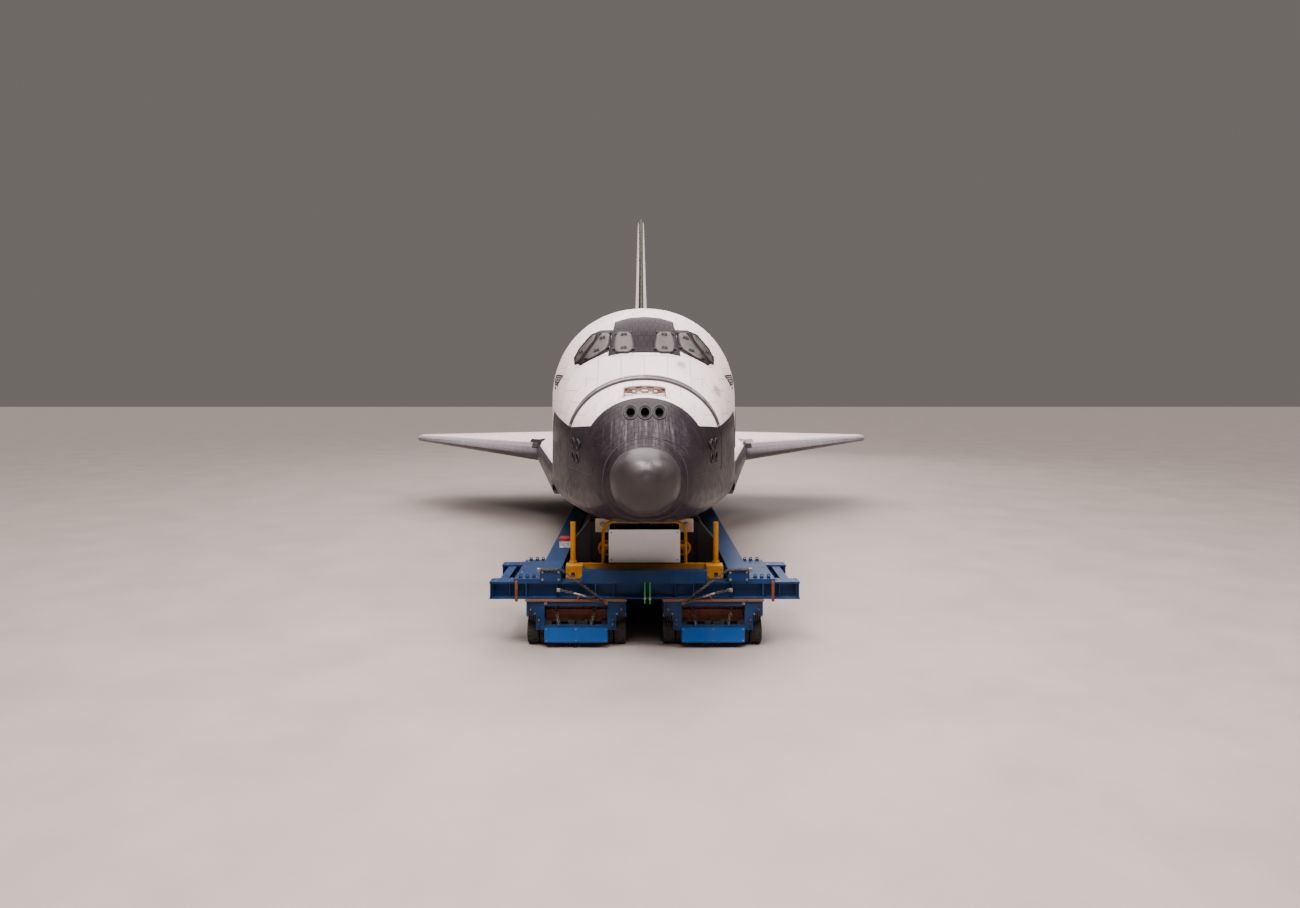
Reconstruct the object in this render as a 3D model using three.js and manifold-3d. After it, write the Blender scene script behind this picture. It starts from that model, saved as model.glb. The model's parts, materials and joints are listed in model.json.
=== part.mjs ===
// Winged space shuttle orbiter, held on its self-propelled overland transporter.
// Millimetres, +Z up, nose towards -Y, +X is the orbiter's port (left) side.
import * as THREE from 'three';
import { mergeVertices } from 'three/addons/utils/BufferGeometryUtils.js';
import Module from 'manifold-3d';

const wasm = await Module();
wasm.setup();
const { Manifold } = wasm;

// Overall sizes. A station is the distance aft of the nose tip.
const LENGTH = 37240;
const GAP = 0.3;
const RUNNING_GAP = 10;
const BIG = 60000;

// Fuselage stations where one piece ends and the next begins
const NOSE_CAP_END = 650;
const CABIN_END = 8800;
const BAY_END = 27200;
const BASE = 32300;

// Fuselage cross-sections. The upper part is a rounded arch, the sides are upright,
// and the lower corners are quarter ellipses.
const BODY_COLUMNS = ['station', 'top', 'bottom', 'halfWidth', 'shoulder', 'cornerX', 'cornerZ'];
const BODY_ROWS = [
  [0, 4480, 4430, 25, 4455, 20, 20],
  [60, 4690, 4180, 270, 4440, 250, 245],
  [200, 4890, 3950, 480, 4420, 450, 450],
  [400, 5015, 3770, 655, 4400, 610, 610],
  [650, 5110, 3630, 770, 4380, 700, 700],
  [1200, 5480, 3400, 1080, 4420, 860, 760],
  [2200, 6137, 3240, 1470, 4650, 900, 800],
  [3600, 6590, 3160, 1930, 4900, 880, 800],
  [4400, 7310, 3140, 2140, 5200, 850, 780],
  [4900, 7910, 3130, 2270, 5420, 830, 760],
  [5500, 8310, 3125, 2410, 5620, 800, 740],
  [6500, 8590, 3115, 2600, 5880, 750, 720],
  [7500, 8710, 3105, 2690, 6040, 620, 620],
  [8800, 8710, 3090, 2690, 6040, 450, 450],
  [20000, 8710, 2920, 2690, 6040, 400, 400],
  [27200, 8710, 2880, 2690, 6040, 400, 400],
  [30500, 8690, 2900, 2690, 6040, 400, 400],
  [32300, 8560, 2950, 2690, 6000, 400, 400],
];
const ARCH_EXPONENT = 2.1;
const ARCH_STEPS = 14;
const CORNER_STEPS = 3;

// Payload bay and its two doors
const DOOR_SPLIT_Z = 6600;
const DOOR_THICKNESS = 160;
const BAY_RADIUS = 2290;
const BAY_CENTRE_Z = 6170;

// Side hatch, on the port side
const HATCH_STATION = 7200;
const HATCH_Z = 5150;
const HATCH_RADIUS = 500;
const HATCH_SEAT_X = 2560;
const HATCH_CLEARANCE = 15;

// Wing sections from root to tip. The chord here ends at the elevon's nose.
const WING_COLUMNS = ['x', 'leadingStation', 'leadingZ', 'upperZ', 'lowerZ', 'hingeRadius'];
const WING_ROWS = [
  [2000, 7300, 3500, 4160, 2970, 300],
  [2700, 7300, 3500, 4160, 2970, 300],
  [4700, 19900, 3480, 4020, 2945, 262],
  [11900, 27100, 3575, 3720, 3430, 120],
];
// Share of the section's height above and below its leading edge, along the chord
const AEROFOIL_ROWS = [
  { chord: 0.006, upper: 0.3, lower: 0.34 },
  { chord: 0.03, upper: 0.58, lower: 0.68 },
  { chord: 0.1, upper: 0.83, lower: 0.94 },
  { chord: 0.35, upper: 1, lower: 1 },
  { chord: 0.7, upper: 0.93, lower: 0.9 },
];
const WING_BREAK_X = 4700;
const WING_TIP_X = 11900;
const EDGE_DEPTH = 420;
const HINGE_STATION = 29240;
const HINGE_Z = 3520;
const ELEVON_GAP = 30;
const ELEVONS = [
  { name: 'inner', x0: 2800, x1: 7890, seat: 2690 },
  { name: 'outer', x0: 7960, x1: 11830, seat: 7945 },
];
const HINGE_PIN = 50;
const HINGE_RIB = { x0: 7905, x1: 7945, front: 28950, back: 29340, halfHeight: 100 };
const ELEVON_TAIL = { rootX: 2800, rootStation: 32200, tipX: 11900, tipStation: 30600, thickness: 40 };

// Body flap under the engines
const FLAP = { halfSpan: 2950, hingeStation: BASE + 170.5, hingeZ: 3180, radius: 170, tail: 34400, edge: 50 };

// Fin and its split rudder. Half thicknesses are at the nose, the hinge and the tail.
const FIN_COLUMNS = ['z', 'leading', 'trailing', 'noseHalf', 'hingeHalf', 'tailHalf'];
const FIN_ROWS = [
  [8000, 26600, 33050, 70, 400, 120],
  [16740, 34500, 37240, 35, 190, 60],
];
const FIN_HINGE_SHARE = 0.6;
const FIN_OVERHANG_Z = 9330;
const RUDDER = { bottom: 10950, top: 16450, hingeGap: 0.5, endGap: 12 };
const CHUTE_BOX = { halfWidth: 330, front: 31300, back: 33750, bottom: FIN_OVERHANG_Z, top: 9900 };

// Orbital manoeuvring pods beside the fin
const POD_COLUMNS = ['station', 'x', 'z', 'halfWidth', 'halfHeight'];
const POD_ROWS = [
  [27240, 2080, 7500, 250, 250],
  [28000, 2110, 7880, 700, 800],
  [29200, 2150, 8130, 920, 1290],
  [31000, 2160, 8200, 950, 1500],
  [33000, 2160, 8200, 940, 1440],
  [33800, 2170, 8230, 800, 1180],
];
const POD_STEPS = 18;
const POD_THRUSTER_BOX = { x0: 2650, x1: 3330, front: 32500, back: 34050, bottom: 7560, top: 8600 };
const POD_NOZZLE = { x: 2240, station: 33700, z: 8480, tilt: 12, cant: 6, length: 1250 };

// Main engines: the point where the axis of each crosses the base, its tilt and length
const ENGINES = [
  { name: 'top', x: 0, z: 7700, tilt: 15.5, cant: 0, length: 2350 },
  { name: 'left', x: 1370, z: 4890, tilt: 10, cant: 3.5, length: 2900 },
  { name: 'right', x: -1370, z: 4890, tilt: 10, cant: -3.5, length: 2900 },
];
const BELL = { exit: 1170, wall: 45, steps: 18, collar: 960 };

// Windshield: outlines seen from the front as [x, z], and heights above the skin
const SURROUND = [[0, 8310], [400, 8280], [790, 8170], [955, 7215], [500, 7300], [0, 7310]];
const COVERS = [
  [[340, 7890], [690, 7890], [790, 7330], [290, 7310]],
  [[915, 7880], [1165, 7850], [1590, 7160], [955, 7420]],
  [[1310, 7880], [1410, 7830], [1900, 7090], [1700, 7140]],
];
const SIDE_FRAME = [[850, 7960], [1200, 7960], [1420, 7900], [1960, 7080], [1800, 6960],
  [1180, 7130], [920, 7290]];
const SURROUND_RISE = 20;
const COVER_RISE = 75;

// Transporter: beams, from the floor up
const DECK_TOP = 1160;
const PACKER_TOP = 1210;
const BEAM_BOTTOM = PACKER_TOP + GAP;
const BEAM_TOP = 1630;
const FLANGE = 40;
const CROSS_HALF = 3800;
const CROSS_WIDTH = 400;
const STIFFENER_X = [-3770, -2900, -1200, 0, 1200, 2900, 3770];
const INSET = 6;
const CROSS_BEAMS = [
  { name: 'front_cross_beam', front: 3050 },
  { name: 'second_cross_beam', front: 4950 },
  { name: 'rear_cross_beam_1', front: 24500 },
  { name: 'rear_cross_beam_2', front: 27800 },
];
const CENTRE_BOX = { halfWidth: 1530, depth: 250, top: 1900 };
const DECK_PLATE = { x1: 3200, end: 5300, top: 1700 };
const LONG_BEAM = { x0: 2050, x1: 2550, front: 3050, back: 28900, top: 1930 };
const PLATFORM = { halfWidth: 1980, front: 3330, back: 5280, top: 1800 };
const TOWER = { halfWidth: 1790, front: 3950, back: 4700, top: 2960, neck: 1150 };
const PAD = { x0: 900, x1: 1235, front: 3900, back: 4300, bottom: 2700, top: 3060 };
const FRONT_SEAT = { station: 4300, radius: 140 };
const AFT_SEAT = { x: 2240, station: 27500, radius: 130, foot: 360, neck: 200, neckZ: 2700 };
const ACCESS = { halfWidth: 1970, front: 3640, back: 3760, top: 1950, post: 1800, postRadius: 68,
  postTop: 2980 };
const HOOP = { halfWidth: 1040, radius: 42, top: 3000, corner: 260, bar: 2380 };
const BOARD = { halfWidth: 900, thickness: 30, bottom: 1980, top: 2810 };

// Transporter: wheeled units and their axle lines
const UNIT_LENGTH = 5600;
const UNIT_HALF = 1215;
const UNIT_X = 1680;
const UNITS = [
  { name: 'front_left', x: UNIT_X, end: 3060, towards: 1 },
  { name: 'front_right', x: -UNIT_X, end: 3060, towards: 1 },
  { name: 'rear_left', x: UNIT_X, end: 29300, towards: -1 },
  { name: 'rear_right', x: -UNIT_X, end: 29300, towards: -1 },
];
const AXLE_LINES = 4;
const AXLE_FIRST = 500;
const AXLE_PITCH = 1400;
const WHEEL_RADIUS = 360;
const WHEEL_WIDTH = 290;
const WHEEL_SIDES = 14;
const WHEEL_X = [755, 1070];
const AXLE_RADIUS = 60;
const AXLE_SIDES = 6;
const BRACKET = { x0: 480, x1: 550, halfLength: 120, bottom: 240, holeGap: 0.4, holeSides: 12 };
const CHASSIS = { bottom: 800, spineHalf: 300, spineBottom: 450 };
const RECESS = { halfWidth: 770, depth: 900, bottom: 560, top: 1040 };
const NOSE_FRAME = { halfWidth: 980, depth: 100 };
const HOOD = { halfWidth: 590, depth: 420, bottom: 150, top: 510 };

// Finishes
const finish = (color, roughness, metalness = 0) =>
  new THREE.MeshStandardMaterial({ color, roughness, metalness });
const WHITE = finish(0xe2d8da, 0.6);
const BLACK_TILE = finish(0x453a44, 0.5);
const GREY_CARBON = finish(0x7d7378, 0.55);
const EDGE_CARBON = finish(0x9d99a6, 0.5);
const COVER_GREY = finish(0x7c7474, 0.6);
const ENGINE_STEEL = finish(0x8a8580, 0.4, 0.8);
const BLUE_PAINT = finish(0x1c4f86, 0.45);
const NAVY_PAINT = finish(0x10182e, 0.5);
const YELLOW_PAINT = finish(0xd08e14, 0.45);
const SIGN_GREY = finish(0xc9c6c6, 0.5);
const TYRE_RUBBER = finish(0x1a1a1c, 0.9);

// Geometry helpers

const station = (s) => s - LENGTH / 2;
const radians = (degrees) => (degrees * Math.PI) / 180;
const lerp = (a, b, t) => a + (b - a) * t;
const named = (columns, row) => Object.fromEntries(columns.map((name, i) => [name, row[i]]));

// A solid from merged vertices and triangles, turned so that its faces point outwards
function fromTriangles(vertices, triangles) {
  const kept = [];
  let volume = 0;
  for (let t = 0; t < triangles.length; t += 3) {
    const [a, b, c] = [triangles[t], triangles[t + 1], triangles[t + 2]];
    if (a === b || b === c || c === a) continue;
    kept.push(a, b, c);
    const [p, q, r] = [a, b, c].map((i) => new THREE.Vector3().fromArray(vertices, 3 * i));
    volume += p.dot(q.cross(r));
  }
  if (volume < 0) kept.reverse();
  return new Manifold(new wasm.Mesh({
    numProp: 3,
    vertProperties: new Float32Array(vertices),
    triVerts: new Uint32Array(kept),
  }));
}

function solid(geometry) {
  geometry.deleteAttribute('normal');
  geometry.deleteAttribute('uv');
  const merged = mergeVertices(geometry, 0.001);
  return fromTriangles(merged.attributes.position.array, merged.index.array);
}

// Triangles that close a flat ring, wound as the ring is
function capTriangles(ring) {
  const normal = new THREE.Vector3();
  ring.forEach((p, i) => normal.add(p.clone().cross(ring[(i + 1) % ring.length])));
  const size = [Math.abs(normal.x), Math.abs(normal.y), Math.abs(normal.z)];
  const drop = size.indexOf(Math.max(...size));
  const [u, v] = [['y', 'z'], ['x', 'z'], ['x', 'y']][drop];
  const flat = ring.map((p) => new THREE.Vector2(p[u], p[v]));
  const turn = THREE.ShapeUtils.area(flat) > 0;
  return THREE.ShapeUtils.triangulateShape(flat, []).map((face) => {
    const same = THREE.ShapeUtils.area(face.map((i) => flat[i])) > 0 === turn;
    return same ? face : [face[0], face[2], face[1]];
  });
}

// A closed solid through rings with the same number of points. Each face is split along
// its shorter diagonal, so that port and starboard come out alike.
function loft(rings) {
  const count = rings[0].length;
  const points = rings.flat();
  const vertices = points.flatMap((p) => [p.x, p.y, p.z]);
  const triangles = [];
  for (let r = 0; r + 1 < rings.length; r += 1) {
    for (let i = 0; i < count; i += 1) {
      const j = (i + 1) % count;
      const [a, b] = [r * count + i, r * count + j];
      const [c, d] = [b + count, a + count];
      const across = points[a].distanceTo(points[c]) - points[b].distanceTo(points[d]);
      if (across < 0) triangles.push(a, b, c, a, c, d);
      else triangles.push(a, b, d, b, c, d);
    }
  }
  const last = (rings.length - 1) * count;
  for (const [a, b, c] of capTriangles(rings[0])) triangles.push(a, c, b);
  for (const [a, b, c] of capTriangles(rings[rings.length - 1])) {
    triangles.push(last + a, last + b, last + c);
  }
  return fromTriangles(vertices, triangles);
}

// Straight prisms: an outline of [y, z] along X, or of [x, z] along Y
const prismX = (outline, x0, x1) =>
  loft([x0, x1].map((x) => outline.map(([y, z]) => new THREE.Vector3(x, y, z))));
const prismY = (outline, y0, y1) =>
  loft([y0, y1].map((y) => outline.map(([x, z]) => new THREE.Vector3(x, y, z))));

// A box between two values of x, station and z
function box(x0, x1, s0, s1, z0, z1) {
  const geometry = new THREE.BoxGeometry(Math.abs(x1 - x0), Math.abs(s1 - s0), Math.abs(z1 - z0));
  geometry.translate((x0 + x1) / 2, station((s0 + s1) / 2), (z0 + z1) / 2);
  return solid(geometry);
}

// The same box on both sides of the middle plane
const boxPair = (x0, x1, ...rest) => [box(x0, x1, ...rest), box(-x1, -x0, ...rest)];

// A cylinder or cone between two points, with one flat underneath
function rod(from, to, radius, sides, endRadius = radius) {
  const along = new THREE.Vector3().subVectors(to, from);
  const geometry = new THREE.CylinderGeometry(endRadius, radius, along.length(), sides);
  geometry.rotateY(Math.PI / sides);
  geometry.translate(0, along.length() / 2, 0);
  const turn = new THREE.Quaternion().setFromUnitVectors(new THREE.Vector3(0, 1, 0), along.normalize());
  geometry.applyQuaternion(turn);
  geometry.translate(from.x, from.y, from.z);
  return solid(geometry);
}
const point = (x, s, z) => new THREE.Vector3(x, station(s), z);

const weld = (solids) => solids.reduce((whole, next) => whole.add(next));
const mirrored = (whole) => whole.mirror([1, 0, 0]);

// Smooth values between the rows of a table, with no overshoot
function column(rows, at, index) {
  const xs = rows.map((row) => row[0]);
  const ys = rows.map((row) => row[index]);
  const k = Math.min(Math.max(xs.findIndex((x) => x >= at) - 1, 0), xs.length - 2);
  if (at >= xs[xs.length - 1]) return ys[ys.length - 1];
  const slope = (i) => (ys[i + 1] - ys[i]) / (xs[i + 1] - xs[i]);
  const tangent = (i) => {
    if (i === 0) return slope(0);
    if (i === xs.length - 1) return slope(i - 1);
    const [a, b] = [slope(i - 1), slope(i)];
    return a * b <= 0 ? 0 : (2 * a * b) / (a + b);
  };
  const width = xs[k + 1] - xs[k];
  const t = Math.min(Math.max((at - xs[k]) / width, 0), 1);
  const rise = t * t * (3 - 2 * t);
  const curl = tangent(k) * t * (1 - t) ** 2 - tangent(k + 1) * t * t * (1 - t);
  return lerp(ys[k], ys[k + 1], rise) + curl * width;
}

// Fuselage

// The fuselage's outline at one station, pushed outwards by an offset
function bodyRing(s, offset) {
  const row = BODY_COLUMNS.map((name, i) => (i === 0 ? s : column(BODY_ROWS, s, i)));
  const { top, bottom, halfWidth, shoulder, cornerX, cornerZ } = named(BODY_COLUMNS, row);
  const [w, h] = [halfWidth + offset, top + offset - shoulder];
  const ring = [];
  for (let i = 0; i <= ARCH_STEPS; i += 1) {
    const angle = (Math.PI * i) / ARCH_STEPS;
    const [c, n] = [Math.cos(angle), Math.sin(angle)];
    const x = Math.sign(c) * Math.abs(c) ** (2 / ARCH_EXPONENT) * w;
    ring.push(point(Math.abs(c) < 1e-9 ? 0 : x, s, shoulder + n ** (2 / ARCH_EXPONENT) * h));
  }
  for (const side of [-1, 1]) {
    for (let i = 0; i <= CORNER_STEPS; i += 1) {
      const angle = (Math.PI / 2) * (side < 0 ? i / CORNER_STEPS : 1 - i / CORNER_STEPS);
      const x = w - cornerX * (1 - Math.cos(angle));
      ring.push(point(side * x, s, bottom - offset + cornerZ * (1 - Math.sin(angle))));
    }
  }
  return ring;
}

const ALL_STATIONS = [0, 20, 60, 120, 200, 300, 400, 520, 650, 900, 1200, 1700, 2200, 2900, 3600,
  4000, 4400, 4900, 5500, 6100, 6800, 7500, 8800, 14000, 20000, 27200, 30500, 32300];

// The whole fuselage between two stations
function bodyBetween(s0, s1, offset = 0) {
  const inner = ALL_STATIONS.filter((s) => s > s0 + 1 && s < s1 - 1);
  return loft([s0, ...inner, s1].map((s) => bodyRing(s, offset)));
}

// The whole fuselage with a small gap round it, which trims the pieces that rest on it
const bodyCutter = bodyBetween(0, BASE, GAP).add(bodyBetween(BASE - 500, BASE + GAP, GAP));

function thrusterModule() {
  const side = [[950, 5250], [1500, 4400], [3600, 4400], [3600, 7200], [950, 7200]];
  return prismX(side.map(([s, z]) => [station(s), z]), -2500, 2500);
}

// The thruster module's jets: three look forward, three up and four to each side
function moduleJets() {
  const forward = [-330, 0, 330].map((x) => rod(point(x, 1200, 5820), point(x, 2300, 5820), 115, 12));
  const upward = [-270, 0, 270].map((x) => rod(point(x, 2750, 5950), point(x, 2750, 7200), 110, 12));
  const side = [];
  for (const sign of [-1, 1]) {
    for (const [s, z] of [[2600, 5080], [2600, 4760], [3000, 5080], [3000, 4760]]) {
      side.push(rod(point(sign * 1150, s, z), point(sign * 2400, s, z - 120), 105, 10));
    }
  }
  return weld([...forward, ...upward, ...side]);
}

function windshield() {
  const front = station(3700);
  const back = station(6500);
  const mirrorOutline = (outline) => outline.map(([x, z]) => [-x, z]).reverse();
  const arch = [...SURROUND, ...mirrorOutline(SURROUND).slice(1, -1)];
  const skin = bodyBetween(3600, 6600, GAP);
  const raised = (outline, rise) =>
    bodyBetween(3500, 6700, rise).intersect(prismY(outline, front, back)).subtract(skin);
  const bothSides = (outline) => [outline, mirrorOutline(outline)];
  const frames = bothSides(SIDE_FRAME).map((outline) => raised(outline, SURROUND_RISE));
  const pads = COVERS.flatMap(bothSides).map((outline) => raised(outline, COVER_RISE));
  return weld([raised(arch, SURROUND_RISE), ...frames, ...pads]);
}

function hatchRod(x0, x1, radius) {
  return rod(point(x0, HATCH_STATION, HATCH_Z), point(x1, HATCH_STATION, HATCH_Z), radius, 24);
}

const bayCavity = () => {
  const outline = [[BAY_RADIUS, DOOR_SPLIT_Z + 1000], [-BAY_RADIUS, DOOR_SPLIT_Z + 1000]];
  for (let i = 0; i <= ARCH_STEPS; i += 1) {
    const angle = Math.PI + (Math.PI * i) / ARCH_STEPS;
    outline.push([BAY_RADIUS * Math.cos(angle), BAY_CENTRE_Z + BAY_RADIUS * Math.sin(angle)]);
  }
  return prismY(outline, station(CABIN_END - 10), station(BAY_END + 10));
};

function payloadDoor() {
  const [s0, s1] = [CABIN_END + RUNNING_GAP, BAY_END - RUNNING_GAP];
  const outside = bodyBetween(s0, s1).intersect(box(5, BIG, s0 - 1, s1 + 1, DOOR_SPLIT_Z + GAP, BIG));
  return outside.subtract(bodyBetween(s0 - 100, s1 + 100, -DOOR_THICKNESS));
}

// Wing

function aerofoilRing(row) {
  const { x, leadingStation, leadingZ, upperZ, lowerZ, hingeRadius } = named(WING_COLUMNS, row);
  const rear = HINGE_STATION - hingeRadius - ELEVON_GAP;
  const at = (share) => lerp(leadingStation, rear, share);
  const upper = AEROFOIL_ROWS.map(({ chord, upper: h }) => point(x, at(chord), lerp(leadingZ, upperZ, h)));
  const lower = AEROFOIL_ROWS.map(({ chord, lower: h }) => point(x, at(chord), lerp(leadingZ, lowerZ, h)));
  return [
    point(x, leadingStation, leadingZ),
    ...upper,
    point(x, rear, HINGE_Z + hingeRadius),
    point(x, rear, HINGE_Z - hingeRadius),
    ...lower.reverse(),
  ];
}

// The band of plan that the leading edge piece takes, as a prism through the wing
function edgeBand(back, inner) {
  const leading = (x) => lerp(19900, 27100, (x - WING_BREAK_X) / (WING_TIP_X - WING_BREAK_X));
  const plan = [
    [inner, leading(inner) - 900],
    [WING_TIP_X + 100, leading(WING_TIP_X) - 900],
    [WING_TIP_X + 100, leading(WING_TIP_X + 100) + back],
    [inner, leading(inner) + back],
  ];
  return loft([2000, 5000].map((z) => plan.map(([x, s]) => point(x, s, z))));
}

function wingWhole() {
  const { x0, x1, front, back, halfHeight } = HINGE_RIB;
  const rib = box(x0, x1, front, back, HINGE_Z - halfHeight, HINGE_Z + halfHeight);
  return loft(WING_ROWS.map(aerofoilRing)).add(rib).subtract(bodyCutter);
}

// Nose radius of an elevon at a spanwise place, the same as behind the wing
const hingeRadiusAt = (x) => {
  const [root, tip] = [WING_ROWS[2], WING_ROWS[3]].map((row) => named(WING_COLUMNS, row));
  return lerp(root.hingeRadius, tip.hingeRadius, (x - root.x) / (tip.x - root.x));
};

function elevonRing(x) {
  const radius = hingeRadiusAt(x) - 6;
  const { rootX, rootStation, tipX, tipStation, thickness } = ELEVON_TAIL;
  const tail = lerp(rootStation, tipStation, (x - rootX) / (tipX - rootX));
  const ring = [];
  for (let i = 0; i <= 6; i += 1) {
    const angle = Math.PI / 2 + (Math.PI * i) / 6;
    ring.push(point(x, HINGE_STATION + radius * Math.cos(angle), HINGE_Z + radius * Math.sin(angle)));
  }
  ring.push(point(x, tail, HINGE_Z - thickness / 2 - 60));
  ring.push(point(x, tail, HINGE_Z + thickness / 2 - 60));
  return ring;
}

function bodyFlap() {
  const { halfSpan, hingeStation, hingeZ, radius, tail, edge } = FLAP;
  const outline = [];
  for (let i = 0; i <= 6; i += 1) {
    const angle = Math.PI / 2 + (Math.PI * i) / 6;
    outline.push([station(hingeStation + radius * Math.cos(angle)), hingeZ + radius * Math.sin(angle)]);
  }
  outline.push([station(tail), hingeZ - edge], [station(tail), hingeZ + edge]);
  return prismX(outline, -halfSpan, halfSpan);
}

// Fin and rudder

const finAt = (z) => {
  const t = (z - FIN_ROWS[0][0]) / (FIN_ROWS[1][0] - FIN_ROWS[0][0]);
  const row = named(FIN_COLUMNS, FIN_ROWS[0].map((value, i) => lerp(value, FIN_ROWS[1][i], t)));
  row.hinge = lerp(row.leading, row.trailing, FIN_HINGE_SHARE);
  return row;
};

function finRing(z) {
  const { leading, trailing, hinge, noseHalf, hingeHalf, tailHalf } = finAt(z);
  const side = [
    [leading + noseHalf, noseHalf],
    [hinge, hingeHalf],
    [trailing, tailHalf],
  ];
  return [
    point(0, leading, z),
    ...side.map(([s, x]) => point(x, s, z)),
    ...side.reverse().map(([s, x]) => point(-x, s, z)),
  ];
}

// The region of the fin that the rudder takes. Its ends are square to the hinge line.
function rudderRegion(hingeGap, endGap) {
  const at = (z) => new THREE.Vector2(station(finAt(z).hinge), z);
  const [low, high] = [at(RUDDER.bottom), at(RUDDER.top)];
  const up = high.clone().sub(low).normalize();
  const aft = new THREE.Vector2(up.y, -up.x);
  const corner = (from, alongUp, alongAft) =>
    from.clone().addScaledVector(up, alongUp).addScaledVector(aft, alongAft).toArray();
  return prismX([
    corner(low, -endGap, -hingeGap), corner(low, -endGap, 4000),
    corner(high, endGap, 4000), corner(high, endGap, -hingeGap),
  ], -2000, 2000);
}

// Pods, nozzles and engines

function podShell() {
  const rings = POD_ROWS.map((values) => {
    const { station: s, x, z, halfWidth, halfHeight } = named(POD_COLUMNS, values);
    return Array.from({ length: POD_STEPS }, (_, i) => {
      const angle = (2 * Math.PI * i) / POD_STEPS;
      return point(x + halfWidth * Math.cos(angle), s, z + halfHeight * Math.sin(angle));
    });
  });
  const { x0, x1, front, back, bottom, top } = POD_THRUSTER_BOX;
  return loft(rings).add(box(x0, x1, front, back, bottom, top)).subtract(bodyCutter);
}

// A bell with a closed front, turned about +Y and then tilted up and canted outwards
function bell(profile, steps, { x, z, tilt, cant }, base) {
  const geometry = new THREE.LatheGeometry(profile.map(([r, t]) => new THREE.Vector2(r, t)), steps);
  geometry.rotateX(radians(tilt));
  geometry.rotateZ(radians(-cant));
  geometry.translate(x, station(base), z);
  return solid(geometry);
}

function engine(spec) {
  const { exit, wall, steps, collar } = BELL;
  const { length } = spec;
  const outer = [[0, -600], [collar, -600], [collar, 160], [620, 260], [650, length - 2100],
    [800, length - 1700], [980, length - 1150], [1100, length - 560], [exit, length]];
  const inner = [[exit - wall, length], [1100 - wall, length - 560], [980 - wall, length - 1150],
    [800 - wall, length - 1700], [560, length - 1950], [0, length - 1990]];
  return bell([...outer, ...inner], steps, spec, BASE).subtract(box(-BIG, BIG, 0, BASE + GAP, 0, BIG));
}

function podNozzle() {
  const { length } = POD_NOZZLE;
  const profile = [[0, -100], [230, -100], [230, 250], [340, 500], [480, 850], [570, length],
    [545, length], [455, 850], [315, 500], [200, 330], [0, 300]];
  return bell(profile, 12, POD_NOZZLE, POD_NOZZLE.station);
}

// Transporter

// The outline of an I-beam or of a box with wide flanges, centred on a line
function beamOutline(middle, half, webHalf, bottom, top) {
  const [low, high] = [bottom + FLANGE, top - FLANGE];
  return [
    [middle - half, bottom], [middle + half, bottom], [middle + half, low], [middle + webHalf, low],
    [middle + webHalf, high], [middle + half, high], [middle + half, top], [middle - half, top],
    [middle - half, high], [middle - webHalf, high], [middle - webHalf, low], [middle - half, low],
  ];
}

function crossBeam(front) {
  const back = front + CROSS_WIDTH;
  const outline = beamOutline(station((front + back) / 2), CROSS_WIDTH / 2, 20, BEAM_BOTTOM, BEAM_TOP);
  const stiffeners = STIFFENER_X.map((x) =>
    box(x - 15, x + 15, front + INSET, back - INSET, BEAM_BOTTOM + INSET, BEAM_TOP - INSET));
  return weld([prismX(outline, -CROSS_HALF, CROSS_HALF), ...stiffeners]);
}

function frontCrossBeam(front) {
  const { halfWidth, depth, top } = CENTRE_BOX;
  return weld([
    crossBeam(front),
    box(-halfWidth, halfWidth, front, front + depth, BEAM_TOP - 10, top),
  ]);
}

function longBeam() {
  const { x0, x1, front, back, top } = LONG_BEAM;
  const bottom = BEAM_TOP + GAP;
  const outline = beamOutline((x0 + x1) / 2, (x1 - x0) / 2, 130, bottom, top);
  const ends = [front + 2, back - 32].map((s) =>
    box(x0 + INSET, x1 - INSET, s, s + 30, bottom + INSET, top - INSET));
  const plate = box(x1 - 10, DECK_PLATE.x1, front + INSET, DECK_PLATE.end, bottom + 1, DECK_PLATE.top);
  return weld([prismY(outline, station(front), station(back)), ...ends, plate]);
}

function frontPedestal() {
  const { halfWidth, front, back, top } = PLATFORM;
  const seat = FRONT_SEAT;
  const half = TOWER.halfWidth;
  const sides = [[half, top - 5], [half, 2500], [TOWER.neck + 260, TOWER.top], [TOWER.neck - 420, TOWER.top],
    [half - 900, 2350], [half - 900, top - 5]];
  const leg = prismY(sides, station(TOWER.front), station(TOWER.back));
  return weld([
    box(-halfWidth, halfWidth, front, back, BEAM_TOP + GAP, top),
    leg,
    mirrored(leg),
    box(-half + 300, half - 300, TOWER.front + 150, TOWER.back - 150, top - 5, 2780),
    ...boxPair(PAD.x0, PAD.x1, PAD.front, PAD.back, PAD.bottom, PAD.top),
    rod(point(0, seat.station, 2700), point(0, seat.station, 3400), seat.radius, 16),
  ]).subtract(bodyCutter);
}

function aftPedestal() {
  const { x, station: s, radius, foot, neck, neckZ } = AFT_SEAT;
  const base = LONG_BEAM.top + GAP;
  return weld([
    box(x - 190, x + 310, s - foot, s + foot, base, base + 40),
    rod(point(x, s, base + 10), point(x, s, neckZ), foot * 0.62, 12, neck),
    rod(point(x, s, neckZ - 10), point(x, s, 3300), radius, 12),
  ]).subtract(bodyCutter);
}

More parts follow.
